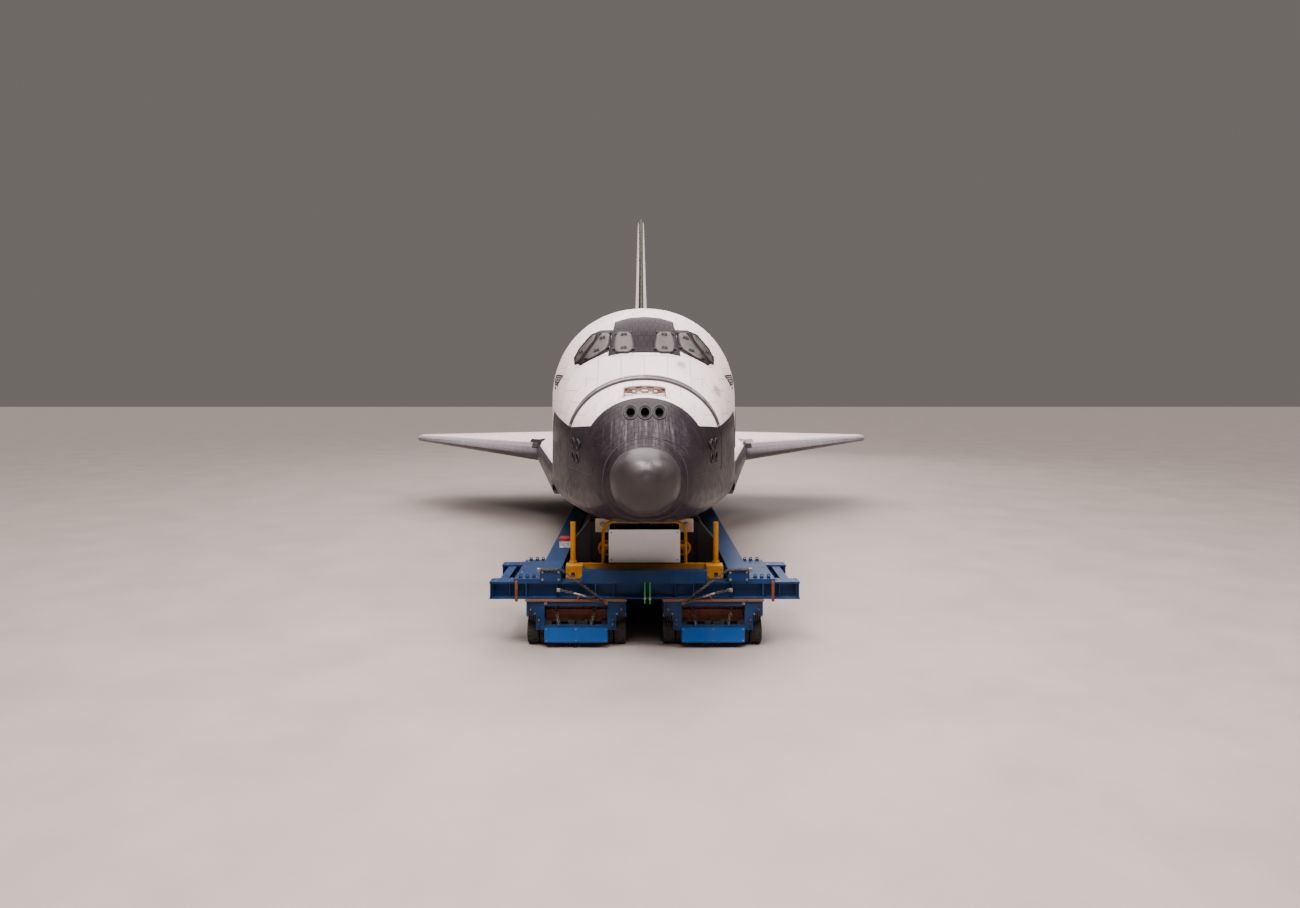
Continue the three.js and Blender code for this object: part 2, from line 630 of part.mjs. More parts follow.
function accessFrame() {
  const { halfWidth, front, back, top, post, postRadius, postTop } = ACCESS;
  const middle = (front + back) / 2;
  const bottom = PLATFORM.top + GAP;
  const hoopPath = new THREE.CurvePath();
  const [half, corner] = [HOOP.halfWidth, HOOP.corner];
  const at = (x, z) => point(x, middle, z);
  hoopPath.add(new THREE.LineCurve3(at(-half, top - 30), at(-half, HOOP.top - corner)));
  hoopPath.add(new THREE.QuadraticBezierCurve3(
    at(-half, HOOP.top - corner), at(-half, HOOP.top), at(-half + corner, HOOP.top)));
  hoopPath.add(new THREE.LineCurve3(at(-half + corner, HOOP.top), at(half - corner, HOOP.top)));
  hoopPath.add(new THREE.QuadraticBezierCurve3(
    at(half - corner, HOOP.top), at(half, HOOP.top), at(half, HOOP.top - corner)));
  hoopPath.add(new THREE.LineCurve3(at(half, HOOP.top - corner), at(half, top - 30)));
  const round = new THREE.Shape().absarc(0, 0, HOOP.radius, 0, 2 * Math.PI);
  const hoop = new THREE.ExtrudeGeometry(round, { steps: 20, extrudePath: hoopPath, curveSegments: 4 });
  return weld([
    box(-halfWidth, halfWidth, front, back, bottom, top),
    solid(hoop),
    rod(point(-post, middle, top - 20), point(-post, middle, postTop), postRadius, 12),
    rod(point(post, middle, top - 20), point(post, middle, postTop), postRadius, 12),
    box(-half, half, middle - HOOP.radius, middle + 25, HOOP.bar, HOOP.bar + 60),
  ]);
}

function noticeBoard() {
  const back = (ACCESS.front + ACCESS.back) / 2 - HOOP.radius - GAP;
  return box(-BOARD.halfWidth, BOARD.halfWidth, back - BOARD.thickness, back, BOARD.bottom, BOARD.top);
}

// A wheeled unit's chassis. Its own lengths run from its panelled end.
function unitChassis({ x, end, towards }) {
  const place = (x0, x1, t0, t1, z0, z1) =>
    box(x + x0, x + x1, end + towards * t0, end + towards * t1, z0, z1);
  const pair = (x0, x1, ...rest) => [place(x0, x1, ...rest), place(-x1, -x0, ...rest)];
  const { bottom, spineHalf, spineBottom } = CHASSIS;
  const parts = [
    place(-UNIT_HALF, UNIT_HALF, 0, UNIT_LENGTH, bottom, DECK_TOP),
    place(-spineHalf, spineHalf, 950, UNIT_LENGTH - 100, spineBottom, bottom + 10),
    place(-NOSE_FRAME.halfWidth, NOSE_FRAME.halfWidth, 0, NOSE_FRAME.depth, HOOD.top - 60, bottom + 10),
    place(-HOOD.halfWidth, HOOD.halfWidth, 0, HOOD.depth, HOOD.bottom, HOOD.top),
    place(-RECESS.halfWidth, RECESS.halfWidth, 0, 60, HOOD.bottom, HOOD.top),
  ];
  for (let line = 0; line < AXLE_LINES; line += 1) {
    const t = AXLE_FIRST + line * AXLE_PITCH;
    parts.push(...pair(BRACKET.x0, BRACKET.x1, t - BRACKET.halfLength, t + BRACKET.halfLength,
      BRACKET.bottom, CHASSIS.bottom + 10));
  }
  for (const { front } of CROSS_BEAMS) {
    const t = towards * (front - end);
    if (t > -CROSS_WIDTH && t < UNIT_LENGTH) {
      const other = t + towards * CROSS_WIDTH;
      const [t0, t1] = [Math.max(0, Math.min(t, other)), Math.max(t, other)];
      parts.push(place(-UNIT_HALF + 15, UNIT_HALF - 15, t0, t1, DECK_TOP - 10, PACKER_TOP));
    }
  }
  const holes = [place(-RECESS.halfWidth, RECESS.halfWidth, -10, RECESS.depth, RECESS.bottom, RECESS.top)];
  const holeRadius = (AXLE_RADIUS + BRACKET.holeGap) / Math.cos(Math.PI / BRACKET.holeSides);
  for (let line = 0; line < AXLE_LINES; line += 1) {
    const s = end + towards * (AXLE_FIRST + line * AXLE_PITCH);
    const ends = [point(x - 700, s, WHEEL_RADIUS), point(x + 700, s, WHEEL_RADIUS)];
    holes.push(rod(...ends, holeRadius, BRACKET.holeSides));
  }
  return weld(parts).subtract(weld(holes));
}

// Four wheels on one axle. The wheels' flats stand on the floor.
function axleLine(x, s) {
  const vertexRadius = WHEEL_RADIUS / Math.cos(Math.PI / WHEEL_SIDES);
  const wheel = (cx) => rod(point(cx - WHEEL_WIDTH / 2, s, WHEEL_RADIUS),
    point(cx + WHEEL_WIDTH / 2, s, WHEEL_RADIUS), vertexRadius, WHEEL_SIDES);
  const reach = WHEEL_X[1] + WHEEL_WIDTH / 2 - 40;
  return weld([
    rod(point(x - reach, s, WHEEL_RADIUS), point(x + reach, s, WHEEL_RADIUS), AXLE_RADIUS, AXLE_SIDES),
    ...WHEEL_X.flatMap((wx) => [wheel(x - wx), wheel(x + wx)]),
  ]);
}

// The assembly

const group = new THREE.Group();

function addNode(name, whole, material) {
  const { vertProperties, triVerts } = whole.getMesh();
  const geometry = new THREE.BufferGeometry();
  geometry.setAttribute('position', new THREE.BufferAttribute(new Float32Array(vertProperties), 3));
  geometry.setIndex(new THREE.BufferAttribute(new Uint32Array(triVerts), 1));
  const mesh = new THREE.Mesh(geometry, material.clone());
  mesh.name = name;
  group.add(mesh);
}

// The same piece to port (left, +X) and, mirrored, to starboard
function addPair(name, whole, material, suffix = '') {
  addNode(`${name}_left${suffix}`, whole, material);
  addNode(`${name}_right${suffix}`, mirrored(whole), material);
}

function addFuselage() {
  const module = thrusterModule();
  const hatchHole = hatchRod(HATCH_SEAT_X - GAP, 3400, HATCH_RADIUS + HATCH_CLEARANCE);
  const skin = bodyBetween(NOSE_CAP_END + GAP, CABIN_END);
  addNode('nose_cap', bodyBetween(0, NOSE_CAP_END), GREY_CARBON);
  addNode('forward_fuselage', skin.subtract(module).subtract(hatchHole), WHITE);
  const inset = bodyBetween(960, 3600 - GAP).intersect(thrusterModule().translate([0, 0, GAP]));
  addNode('thruster_module', inset.subtract(moduleJets()), WHITE);
  addNode('windshield', windshield(), COVER_GREY);
  const hatchSpan = bodyBetween(HATCH_STATION - 2 * HATCH_RADIUS, HATCH_STATION + 2 * HATCH_RADIUS);
  const hatch = hatchSpan.intersect(hatchRod(HATCH_SEAT_X, 3400, HATCH_RADIUS));
  addNode('side_hatch', hatch, WHITE);
  const trough = bodyBetween(CABIN_END + GAP, BAY_END - GAP).intersect(
    box(-BIG, BIG, 0, 40000, 0, DOOR_SPLIT_Z));
  addNode('mid_fuselage', trough.subtract(bayCavity()), WHITE);
  addPair('payload_door', payloadDoor(), WHITE);
  addNode('aft_fuselage', bodyBetween(BAY_END, BASE), WHITE);
}

function addTail() {
  const finWhole = loft([8000, 16740].map(finRing));
  const { halfWidth, front, back, bottom, top } = CHUTE_BOX;
  const fin = finWhole.subtract(rudderRegion(RUDDER.hingeGap, RUDDER.endGap))
    .add(box(-halfWidth, halfWidth, front, back, bottom, top))
    .subtract(bodyCutter)
    .subtract(box(-BIG, BIG, 0, BAY_END + RUNNING_GAP, 0, BIG))
    .subtract(box(-BIG, BIG, BASE, 40000, 0, FIN_OVERHANG_Z));
  addNode('fin', fin, WHITE);
  const half = finWhole.intersect(rudderRegion(0, 0)).intersect(box(5, BIG, 0, 40000, 0, BIG));
  addPair('rudder', half, WHITE);
  addPair('engine_pod', podShell().subtract(podNozzleClearance()), WHITE);
  addPair('pod_nozzle', podNozzle(), ENGINE_STEEL);
  for (const spec of ENGINES) addNode(`main_engine_${spec.name}`, engine(spec), ENGINE_STEEL);
  addNode('body_flap', bodyFlap(), BLACK_TILE);
}

// The socket in the pod that each nozzle's collar sits in
function podNozzleClearance() {
  const profile = [[0, -100 - GAP], [230 + GAP, -100 - GAP], [230 + GAP, 260], [900, 1400], [0, 1400]];
  return bell(profile, 12, POD_NOZZLE, POD_NOZZLE.station);
}

function addWings() {
  const whole = wingWhole();
  addPair('wing', whole.subtract(edgeBand(EDGE_DEPTH + GAP, WING_BREAK_X - GAP)), WHITE);
  addPair('leading_edge', whole.intersect(edgeBand(EDGE_DEPTH, WING_BREAK_X)), EDGE_CARBON);
  for (const { name, x0, x1, seat } of ELEVONS) {
    const ends = [seat + GAP, x0 + 40].map((x) => point(x, HINGE_STATION, HINGE_Z));
    const pin = rod(...ends, HINGE_PIN, 8);
    addPair('elevon', loft([x0, x1].map(elevonRing)).add(pin), WHITE, `_${name}`);
  }
}

function addTransporter() {
  for (const { name, front } of CROSS_BEAMS) {
    const beam = name === 'front_cross_beam' ? frontCrossBeam(front) : crossBeam(front);
    addNode(name, beam, BLUE_PAINT);
  }
  addPair('long_beam', longBeam(), BLUE_PAINT);
  addNode('front_pedestal', frontPedestal(), NAVY_PAINT);
  addPair('aft_pedestal', aftPedestal(), NAVY_PAINT);
  addNode('access_frame', accessFrame(), YELLOW_PAINT);
  addNode('notice_board', noticeBoard(), SIGN_GREY);
  for (const unit of UNITS) {
    addNode(`wheel_unit_${unit.name}`, unitChassis(unit), BLUE_PAINT);
    for (let line = 0; line < AXLE_LINES; line += 1) {
      const s = unit.end + unit.towards * (AXLE_FIRST + line * AXLE_PITCH);
      addNode(`axle_line_${unit.name}_${line + 1}`, axleLine(unit.x, s), TYRE_RUBBER);
    }
  }
}

addFuselage();
addWings();
addTail();
addTransporter();

export default group;
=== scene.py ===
"""Visible finish of a space shuttle orbiter on its overland transporter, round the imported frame.

Metres, +Z up, nose towards -Y, +X is the orbiter's port side.
"""

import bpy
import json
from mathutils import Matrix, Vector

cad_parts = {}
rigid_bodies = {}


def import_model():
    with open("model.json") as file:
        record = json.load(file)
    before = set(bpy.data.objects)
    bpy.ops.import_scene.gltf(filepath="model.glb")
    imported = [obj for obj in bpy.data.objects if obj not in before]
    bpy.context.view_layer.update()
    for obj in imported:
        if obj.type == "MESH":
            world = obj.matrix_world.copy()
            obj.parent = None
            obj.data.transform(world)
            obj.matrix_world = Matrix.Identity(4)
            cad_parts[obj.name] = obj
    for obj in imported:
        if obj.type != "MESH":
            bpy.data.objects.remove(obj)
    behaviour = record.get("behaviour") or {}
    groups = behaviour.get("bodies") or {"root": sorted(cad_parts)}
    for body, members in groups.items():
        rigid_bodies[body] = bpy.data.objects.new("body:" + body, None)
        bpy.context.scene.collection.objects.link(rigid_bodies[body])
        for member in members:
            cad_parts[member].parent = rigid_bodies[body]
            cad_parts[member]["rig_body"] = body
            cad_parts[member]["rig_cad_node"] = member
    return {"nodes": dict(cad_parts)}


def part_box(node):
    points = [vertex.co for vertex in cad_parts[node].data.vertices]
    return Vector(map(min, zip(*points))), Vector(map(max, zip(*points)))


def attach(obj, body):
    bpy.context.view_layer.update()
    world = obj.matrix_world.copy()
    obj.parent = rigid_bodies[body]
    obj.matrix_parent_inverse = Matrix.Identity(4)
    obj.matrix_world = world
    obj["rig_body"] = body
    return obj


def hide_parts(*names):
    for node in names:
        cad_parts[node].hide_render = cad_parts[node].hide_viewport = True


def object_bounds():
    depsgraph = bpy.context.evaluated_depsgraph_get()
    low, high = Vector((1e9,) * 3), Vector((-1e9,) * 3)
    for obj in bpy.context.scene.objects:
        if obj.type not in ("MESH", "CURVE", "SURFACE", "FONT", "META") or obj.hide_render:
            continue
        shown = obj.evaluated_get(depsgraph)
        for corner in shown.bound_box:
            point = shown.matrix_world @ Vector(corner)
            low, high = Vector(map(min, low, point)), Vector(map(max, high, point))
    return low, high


bl_info = {
    "name": "Orbiter and Transporter",
    "version": (1, 0, 0),
    "blender": (4, 5, 0),
    "location": "View3D > Sidebar > Orbiter",
    "description": "Finishes, fittings and stage for the orbiter on its wheeled transporter",
    "category": "Object",
}

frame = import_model()

import functools
import json
import math

import bmesh
import bpy
from mathutils import Matrix, Vector

CAD_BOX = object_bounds()
NOSE_Y = CAD_BOX[0].y
SIDES = {"left": 1, "right": -1}
MIRROR = Matrix.Scale(-1, 4, (1, 0, 0))
FINISH = {}

# Stations, in metres aft of the nose tip
CAP_END, MODULE_END, CABIN_END, BAY_END = 0.65, 3.6, 8.8, 27.2

# Fuselage sections: station, top, bottom, half width, shoulder, corner across, corner up
BODY_ROWS = (
    (0, 4.48, 4.43, 0.025, 4.455, 0.02, 0.02),
    (0.06, 4.69, 4.18, 0.27, 4.44, 0.25, 0.245),
    (0.2, 4.89, 3.95, 0.48, 4.42, 0.45, 0.45),
    (0.4, 5.015, 3.77, 0.655, 4.4, 0.61, 0.61),
    (0.65, 5.11, 3.63, 0.77, 4.38, 0.7, 0.7),
    (1.2, 5.48, 3.4, 1.08, 4.42, 0.86, 0.76),
    (2.2, 6.137, 3.24, 1.47, 4.65, 0.9, 0.8),
    (3.6, 6.59, 3.16, 1.93, 4.9, 0.88, 0.8),
    (4.4, 7.31, 3.14, 2.14, 5.2, 0.85, 0.78),
    (4.9, 7.91, 3.13, 2.27, 5.42, 0.83, 0.76),
    (5.5, 8.31, 3.125, 2.41, 5.62, 0.8, 0.74),
    (6.5, 8.59, 3.115, 2.6, 5.88, 0.75, 0.72),
    (7.5, 8.71, 3.105, 2.69, 6.04, 0.62, 0.62),
    (8.8, 8.71, 3.09, 2.69, 6.04, 0.45, 0.45),
    (20, 8.71, 2.92, 2.69, 6.04, 0.4, 0.4),
    (27.2, 8.71, 2.88, 2.69, 6.04, 0.4, 0.4),
    (30.5, 8.69, 2.9, 2.69, 6.04, 0.4, 0.4),
    (32.3, 8.56, 2.95, 2.69, 6.0, 0.4, 0.4),
)
ARCH_EXPONENT = 2.1


def at(x, station, z):
    """The point at a station aft of the nose tip."""
    return Vector((x, NOSE_Y + station, z))


def column(index, station):
    """One of the section's values at a station, on a smooth line that never overshoots."""
    rows = BODY_ROWS
    if station >= rows[-1][0]:
        return rows[-1][index]
    k = next(i for i in range(len(rows) - 1) if station <= rows[i + 1][0])

    def slope(i):
        return (rows[i + 1][index] - rows[i][index]) / (rows[i + 1][0] - rows[i][0])

    def tangent(i):
        if i in (0, len(rows) - 1):
            return slope(min(i, len(rows) - 2))
        a, b = slope(i - 1), slope(i)
        return 0.0 if a * b <= 0 else 2 * a * b / (a + b)

    width = rows[k + 1][0] - rows[k][0]
    t = max(0.0, (station - rows[k][0]) / width)
    rise = t * t * (3 - 2 * t)
    curl = tangent(k) * t * (1 - t) ** 2 - tangent(k + 1) * t * t * (1 - t)
    return rows[k][index] * (1 - rise) + rows[k + 1][index] * rise + curl * width


@functools.lru_cache(maxsize=None)
def section(station):
    """The fuselage section's values at a station."""
    return tuple([station] + [column(i, station) for i in range(1, 7)])


def arch_point(station, angle, rise=0.0):
    """A point on the upper body. The angle is 0 at the port side and 90 degrees at the top."""
    _, top, _, half, shoulder, _, _ = section(station)
    c, s = math.cos(angle), math.sin(angle)
    power = 2 / ARCH_EXPONENT
    x = math.copysign((half + rise) * abs(c) ** power, c)
    return at(x, station, shoulder + (top + rise - shoulder) * abs(s) ** power)


def top_point(x, station, rise=0.0):
    """The point on the upper body over a place given by x and station."""
    _, top, _, half, shoulder, _, _ = section(station)
    share = max(0.0, 1 - (abs(x) / (half + rise)) ** ARCH_EXPONENT)
    return at(x, station, shoulder + (top + rise - shoulder) * share ** (1 / ARCH_EXPONENT))


def crown(x, z, rise=0.0):
    """The point on the upper body's front seen at a height and a distance from the middle."""
    low, high = CAP_END, 8.0
    for _ in range(40):
        middle = (low + high) / 2
        if abs(x) < section(middle)[3] + rise and top_point(x, middle, rise).z >= z:
            high = middle
        else:
            low = middle
    return at(x, (low + high) / 2, z)


def crown_matrix(x, z, rise):
    """Sets a part, made at the origin facing up, on the sloping front of the upper body."""
    step = 0.02
    across = crown(x + step, z, rise) - crown(x - step, z, rise)
    upward = crown(x, z + step, rise) - crown(x, z - step, rise)
    normal = across.cross(upward).normalized()
    across = upward.cross(normal).normalized()
    turn = Matrix((across, normal.cross(across), normal)).transposed().to_4x4()
    return Matrix.Translation(crown(x, z, rise)) @ turn


def flank(side, station, z, rise=0.0):
    """The point on the body's side at a station and a height."""
    _, top, _, half, shoulder, _, _ = section(station)
    share = max(0.0, (z - shoulder) / (top - shoulder))
    wide = (1 - share ** ARCH_EXPONENT) ** (1 / ARCH_EXPONENT)
    return at(side * (half * wide + rise), station, z)


def ring_points(station, rise=0.0, lowest=None, steps=40):
    """Points round the body's section, or round its part above a height, from port to starboard."""
    _, _, bottom, half, shoulder, corner_x, corner_z = section(station)
    arch = [arch_point(station, math.pi * i / steps, rise) for i in range(steps + 1)]
    if lowest is not None and lowest >= shoulder:
        return [spot for spot in arch if spot.z >= lowest]
    if lowest is not None:
        ends = [at(side * (half + rise), station, lowest) for side in (1, -1)]
        return [ends[0], *arch, ends[1]]
    port = []
    for i in range(7):
        angle = math.pi / 2 * i / 6
        port.append(at(half - corner_x + (corner_x + rise) * math.cos(angle), station,
                       bottom + corner_z - (corner_z + rise) * math.sin(angle)))
    return [*arch, *[MIRROR @ spot for spot in port], *reversed(port)]


def on_body(x, z, values, rise):
    """The point of the body's section that lies outwards of a point."""
    _, top, bottom, half, shoulder, corner_x, corner_z = values
    power = 2
    if z >= shoulder:
        middle, wide, high, power = (0.0, shoulder), half, top - shoulder, ARCH_EXPONENT
    elif z > bottom + corner_z:
        return math.copysign(half + rise, x), z
    elif abs(x) > half - corner_x:
        middle = (math.copysign(half - corner_x, x), bottom + corner_z)
        wide, high = corner_x, corner_z
    else:
        return x, bottom - rise
    far_x, far_z = x - middle[0], z - middle[1]
    reach = abs(far_x / (wide + rise)) ** power + abs(far_z / (high + rise)) ** power
    pull = reach ** (-1 / power) if reach > 0 else 1
    return middle[0] + far_x * pull, middle[1] + far_z * pull


# Materials


class Net:
    """Adds nodes to one node tree and joins them."""

    def __init__(self, tree):
        self.tree = tree

    def wire(self, values, sockets):
        for key, value in values.items():
            if isinstance(value, bpy.types.NodeSocket):
                self.tree.links.new(value, sockets[key])
            else:
                sockets[key].default_value = value

    def node(self, kind, inputs=None, **settings):
        made = self.tree.nodes.new("ShaderNode" + kind)
        for key, value in settings.items():
            setattr(made, key, value)
        self.wire(inputs or {}, made.inputs)
        return made

    def math(self, operation, a, b=0.0):
        return self.node("Math", {0: a, 1: b}, operation=operation).outputs[0]

    def times(self, *values):
        return functools.reduce(lambda a, b: self.math("MULTIPLY", a, b), values)

    def plus(self, a, b):
        return self.math("ADD", a, b)

    def minus(self, a, b):
        return self.math("SUBTRACT", a, b)

    def size(self, a):
        return self.math("ABSOLUTE", a)

    def above(self, a, b):
        return self.math("GREATER_THAN", a, b)

    def below(self, a, b):
        return self.math("LESS_THAN", a, b)

    def stretch(self, vector, by):
        return self.node("VectorMath", {0: vector, 1: by}, operation="MULTIPLY").outputs[0]

    def gap(self, a, b):
        """The distance between two places."""
        return self.node("VectorMath", {0: a, 1: b}, operation="DISTANCE").outputs["Value"]

    def split(self, vector):
        return self.node("SeparateXYZ", {0: vector}).outputs

    def join(self, x=0.0, y=0.0, z=0.0):
        return self.node("CombineXYZ", {0: x, 1: y, 2: z}).outputs[0]

    def mix(self, factor, a, b):
        return self.node("Mix", {0: factor, 6: a, 7: b}, data_type="RGBA").outputs[2]

    def mix_value(self, factor, a, b):
        return self.node("Mix", {0: factor, 2: a, 3: b}, data_type="FLOAT").outputs[0]

    def mix_vector(self, factor, a, b):
        return self.node("Mix", {0: factor, 4: a, 5: b}, data_type="VECTOR").outputs[1]

    def ramp(self, value, low, high, to_low=0.0, to_high=1.0):
        made = self.node("MapRange", {0: value, 1: low, 2: high, 3: to_low, 4: to_high})
        return made.outputs[0]

    def noise(self, vector, scale, detail=3.0, roughness=0.55):
        sockets = {"Vector": vector, "Scale": scale, "Detail": detail, "Roughness": roughness}
        return self.node("TexNoise", sockets).outputs[0]

    def curve(self, value, points, x_span, y_span):
        """Straight lines through points of (x, y), both from 0 to their span."""
        made = self.node("FloatCurve", {1: self.math("DIVIDE", value, x_span)})
        made.mapping.extend = "HORIZONTAL"
        line = made.mapping.curves[0].points
        spots = [(x / x_span, y / y_span) for x, y in points]
        line[0].location, line[-1].location = spots[0], spots[-1]
        for spot in spots[1:-1]:
            line.new(*spot)
        for dot in line:
            dot.handle_type = "VECTOR"
        made.mapping.update()
        return self.times(made.outputs[0], y_span)

    def group(self, name, **values):
        """Places a group that several finishes share."""
        made = self.tree.nodes.new("ShaderNodeGroup")
        made.node_tree = bpy.data.node_groups[name]
        self.wire({key.replace("_", " "): value for key, value in values.items()}, made.inputs)
        return made.outputs


def new_group(name, outputs, **inputs):
    """A shader node group. Each input has its default. Returns its net, inputs and last node."""
    tree = bpy.data.node_groups.new(name, "ShaderNodeTree")
    for label, default in inputs.items():
        kind = {3: "Vector", 4: "Color"}[len(default)] if isinstance(default, tuple) else "Float"
        socket = tree.interface.new_socket(label.replace("_", " "), in_out="INPUT",
                                           socket_type="NodeSocket" + kind)
        socket.default_value = default
    for label in outputs.split():
        kind = label if label in ("Vector", "Color") else "Float"
        tree.interface.new_socket(label, in_out="OUTPUT", socket_type="NodeSocket" + kind)
    entry = tree.nodes.new("NodeGroupInput")
    return Net(tree), entry.outputs, tree.nodes.new("NodeGroupOutput")


def rgb(r, g, b):
    """A linear colour from the 0 to 255 numbers of a colour picker."""
    def linear(c):
        c /= 255
        return c / 12.92 if c <= 0.04045 else ((c + 0.055) / 1.055) ** 2.4
    return (linear(r), linear(g), linear(b), 1.0)


ORIGIN, UP = (0, 0, 0), (0, 0, 1)


def tile_grid_group():
    """Rows of tiles or blankets: the seams between them and a tone for each."""
    net, given, out = new_group("Tile Grid", "Seam Tone", Vector=ORIGIN, Width=0.15, Height=0.15,
                                Gap=0.004)
    brick = net.node("TexBrick", {
        "Vector": given["Vector"], "Color1": (0, 0, 0, 1), "Color2": (1, 1, 1, 1),
        "Mortar": (0.5, 0.5, 0.5, 1), "Scale": 1.0, "Mortar Size": given["Gap"],
        "Mortar Smooth": 0.3, "Bias": 0.0, "Brick Width": given["Width"],
        "Row Height": given["Height"],
    }, offset=0.5, offset_frequency=2, squash=1.0)
    net.wire({"Seam": brick.outputs["Fac"], "Tone": brick.outputs["Color"]}, out.inputs)


def flat_coordinates_group():
    """The place on the flat view that a face looks towards."""
    net, given, out = new_group("Flat Coordinates", "Vector", Position=ORIGIN, Normal=UP)
    x, y, z = net.split(given["Position"])
    nx, ny, nz = [net.size(n) for n in net.split(given["Normal"])]
    sideways = net.above(nx, nz)
    facing_y = net.above(ny, net.math("MAXIMUM", nx, nz))
    from_top_or_side = net.mix_vector(sideways, net.join(x, y), net.join(z, y))
    net.wire({"Vector": net.mix_vector(facing_y, from_top_or_side, net.join(x, z))}, out.inputs)


def weathering_group():
    """Broad blotches, streaks that run down and fine grain."""
    net, given, out = new_group("Weathering", "Blotches Streaks Grain", Position=ORIGIN,
                                Scale=1.0)
    wide = net.noise(given["Position"], net.times(given["Scale"], 0.55), 5.0, 0.6)
    long = net.stretch(given["Position"], (5.0, 1.6, 0.5))
    streaks = net.noise(long, given["Scale"], 4.0, 0.6)
    grain = net.noise(given["Position"], net.times(given["Scale"], 45.0), 3.0, 0.6)
    net.wire({"Blotches": net.ramp(wide, 0.38, 0.68), "Streaks": net.ramp(streaks, 0.42, 0.72),
              "Grain": grain}, out.inputs)


def thermal_skin_group():
    """Black tiles where the mask is 1, and white quilted blankets where it is 0."""
    net, given, out = new_group(
        "Thermal Skin", "Color Roughness Height", Position=ORIGIN, Normal=UP, Black_Mask=0.0,
        White=(0.75, 0.7, 0.72, 1), Black=(0.045, 0.036, 0.045, 1), Tile=0.155, Blanket=0.76)
    flat = net.group("Flat Coordinates", Position=given["Position"],
                     Normal=given["Normal"])["Vector"]
    worn = net.group("Weathering", Position=given["Position"], Scale=1.0)
    tile, sheet, quilt = [
        net.group("Tile Grid", Vector=flat, Width=side, Height=side, Gap=gap)
        for side, gap in ((given["Tile"], 0.006), (given["Blanket"], 0.012), (0.06, 0.008))]
    black = net.mix(net.ramp(tile["Tone"], 0.0, 1.0, 0.0, 0.35), given["Black"],
                    rgb(52, 45, 50))
    black = net.mix(net.times(worn["Blotches"], 0.05), black, rgb(120, 108, 116))
    black = net.mix(net.times(tile["Seam"], 0.75), black, rgb(14, 11, 13))
    white = given["White"]
    for part, share, tone in ((sheet["Tone"], 0.3, (214, 203, 206)),
                              (worn["Blotches"], 0.22, (196, 182, 184)),
                              (worn["Streaks"], 0.14, (176, 164, 166)),
                              (quilt["Seam"], 0.1, (150, 138, 140)),
                              (sheet["Seam"], 0.5, (140, 126, 130))):
        white = net.mix(net.times(part, share), white, rgb(*tone))
    black_rough = net.ramp(net.plus(tile["Tone"], worn["Blotches"]), 0.0, 2.0, 0.26, 0.46)
    white_rough = net.ramp(worn["Grain"], 0.3, 0.7, 0.72, 0.86)
    height = net.mix_value(given["Black Mask"],
                           net.minus(net.times(quilt["Seam"], -0.25), sheet["Seam"]),
                           net.times(tile["Seam"], -1.0))
    net.wire({"Color": net.mix(given["Black Mask"], white, black),
              "Roughness": net.mix_value(given["Black Mask"], white_rough, black_rough),
              "Height": net.plus(height, net.times(worn["Grain"], 0.12))}, out.inputs)


def painted_steel_group():
    """Paint with streaks, dust on what faces up, and chips down to rust."""
    net, given, out = new_group(
        "Painted Steel", "Color Roughness Metallic Height", Position=ORIGIN, Normal=UP,
        Paint=(0.1, 0.2, 0.5, 1), Wear=0.5, Dust=0.4)
    worn = net.group("Weathering", Position=given["Position"], Scale=2.2)
    chips = net.ramp(net.noise(given["Position"], 14.0, 6.0, 0.7), 0.66, 0.7)
    chips = net.times(chips, net.times(given["Wear"], worn["Blotches"]))
    up = net.math("MAXIMUM", net.split(given["Normal"])[2], 0.0)
    dust = net.times(net.plus(net.times(up, 0.55), 0.25),
                     net.times(given["Dust"], worn["Grain"]))
    streaks = net.times(worn["Streaks"], net.times(given["Wear"], 0.4))
    color = given["Paint"]
    for share, tone in ((streaks, net.mix(0.55, given["Paint"], rgb(18, 22, 34))),
                        (net.times(worn["Blotches"], 0.1),
                         net.mix(0.3, given["Paint"], rgb(190, 190, 190))),
                        (dust, rgb(150, 138, 122)), (chips, rgb(92, 62, 44))):
        color = net.mix(share, color, tone)
    net.wire({"Color": color, "Metallic": net.times(chips, 0.5),
              "Roughness": net.ramp(net.plus(dust, chips), 0.0, 1.0, 0.5, 0.85),
              "Height": net.minus(net.times(worn["Grain"], 0.3), chips)}, out.inputs)


def build_groups():
    """The effects that several materials share."""
    for build in (tile_grid_group, flat_coordinates_group, weathering_group, thermal_skin_group,
                  painted_steel_group):
        build()


def new_material(name, specular=None):
    """A material's net with its surface shader and its position and normal."""
    made = bpy.data.materials.new(name)
    made.use_nodes = True
    net = Net(made.node_tree)
    shader = made.node_tree.nodes["Principled BSDF"]
    if specular is not None:
        shader.inputs["Specular IOR Level"].default_value = specular
    spots = net.node("TexCoord").outputs
    return made, net, shader, spots["Object"], spots["Normal"]


def finish_shader(net, shader, color, roughness, height, depth, metallic=0.0):
    """Joins colour, roughness and relief to the surface shader. Depth is the relief in metres."""
    bump = net.node("Bump", {"Height": height, "Distance": depth, "Strength": 1.0})
    net.wire({"Base Color": color, "Roughness": roughness, "Metallic": metallic,
              "Normal": bump.outputs[0]}, shader.inputs)


TILE = 0.155
HATCH_WELL_X = 2.562
# Station and height of the line between black and white on the side of the forward body
BLACK_LINE = ((0, 9.9), (2.17, 9.9), (2.2, 5.49), (3.6, 5.39), (5.9, 5.72), (6.25, 5.5),
              (6.7, 4.75), (7.4, 4.3), (8.8, 4.05), (20, 4.0))
CHINE_END = 20.4
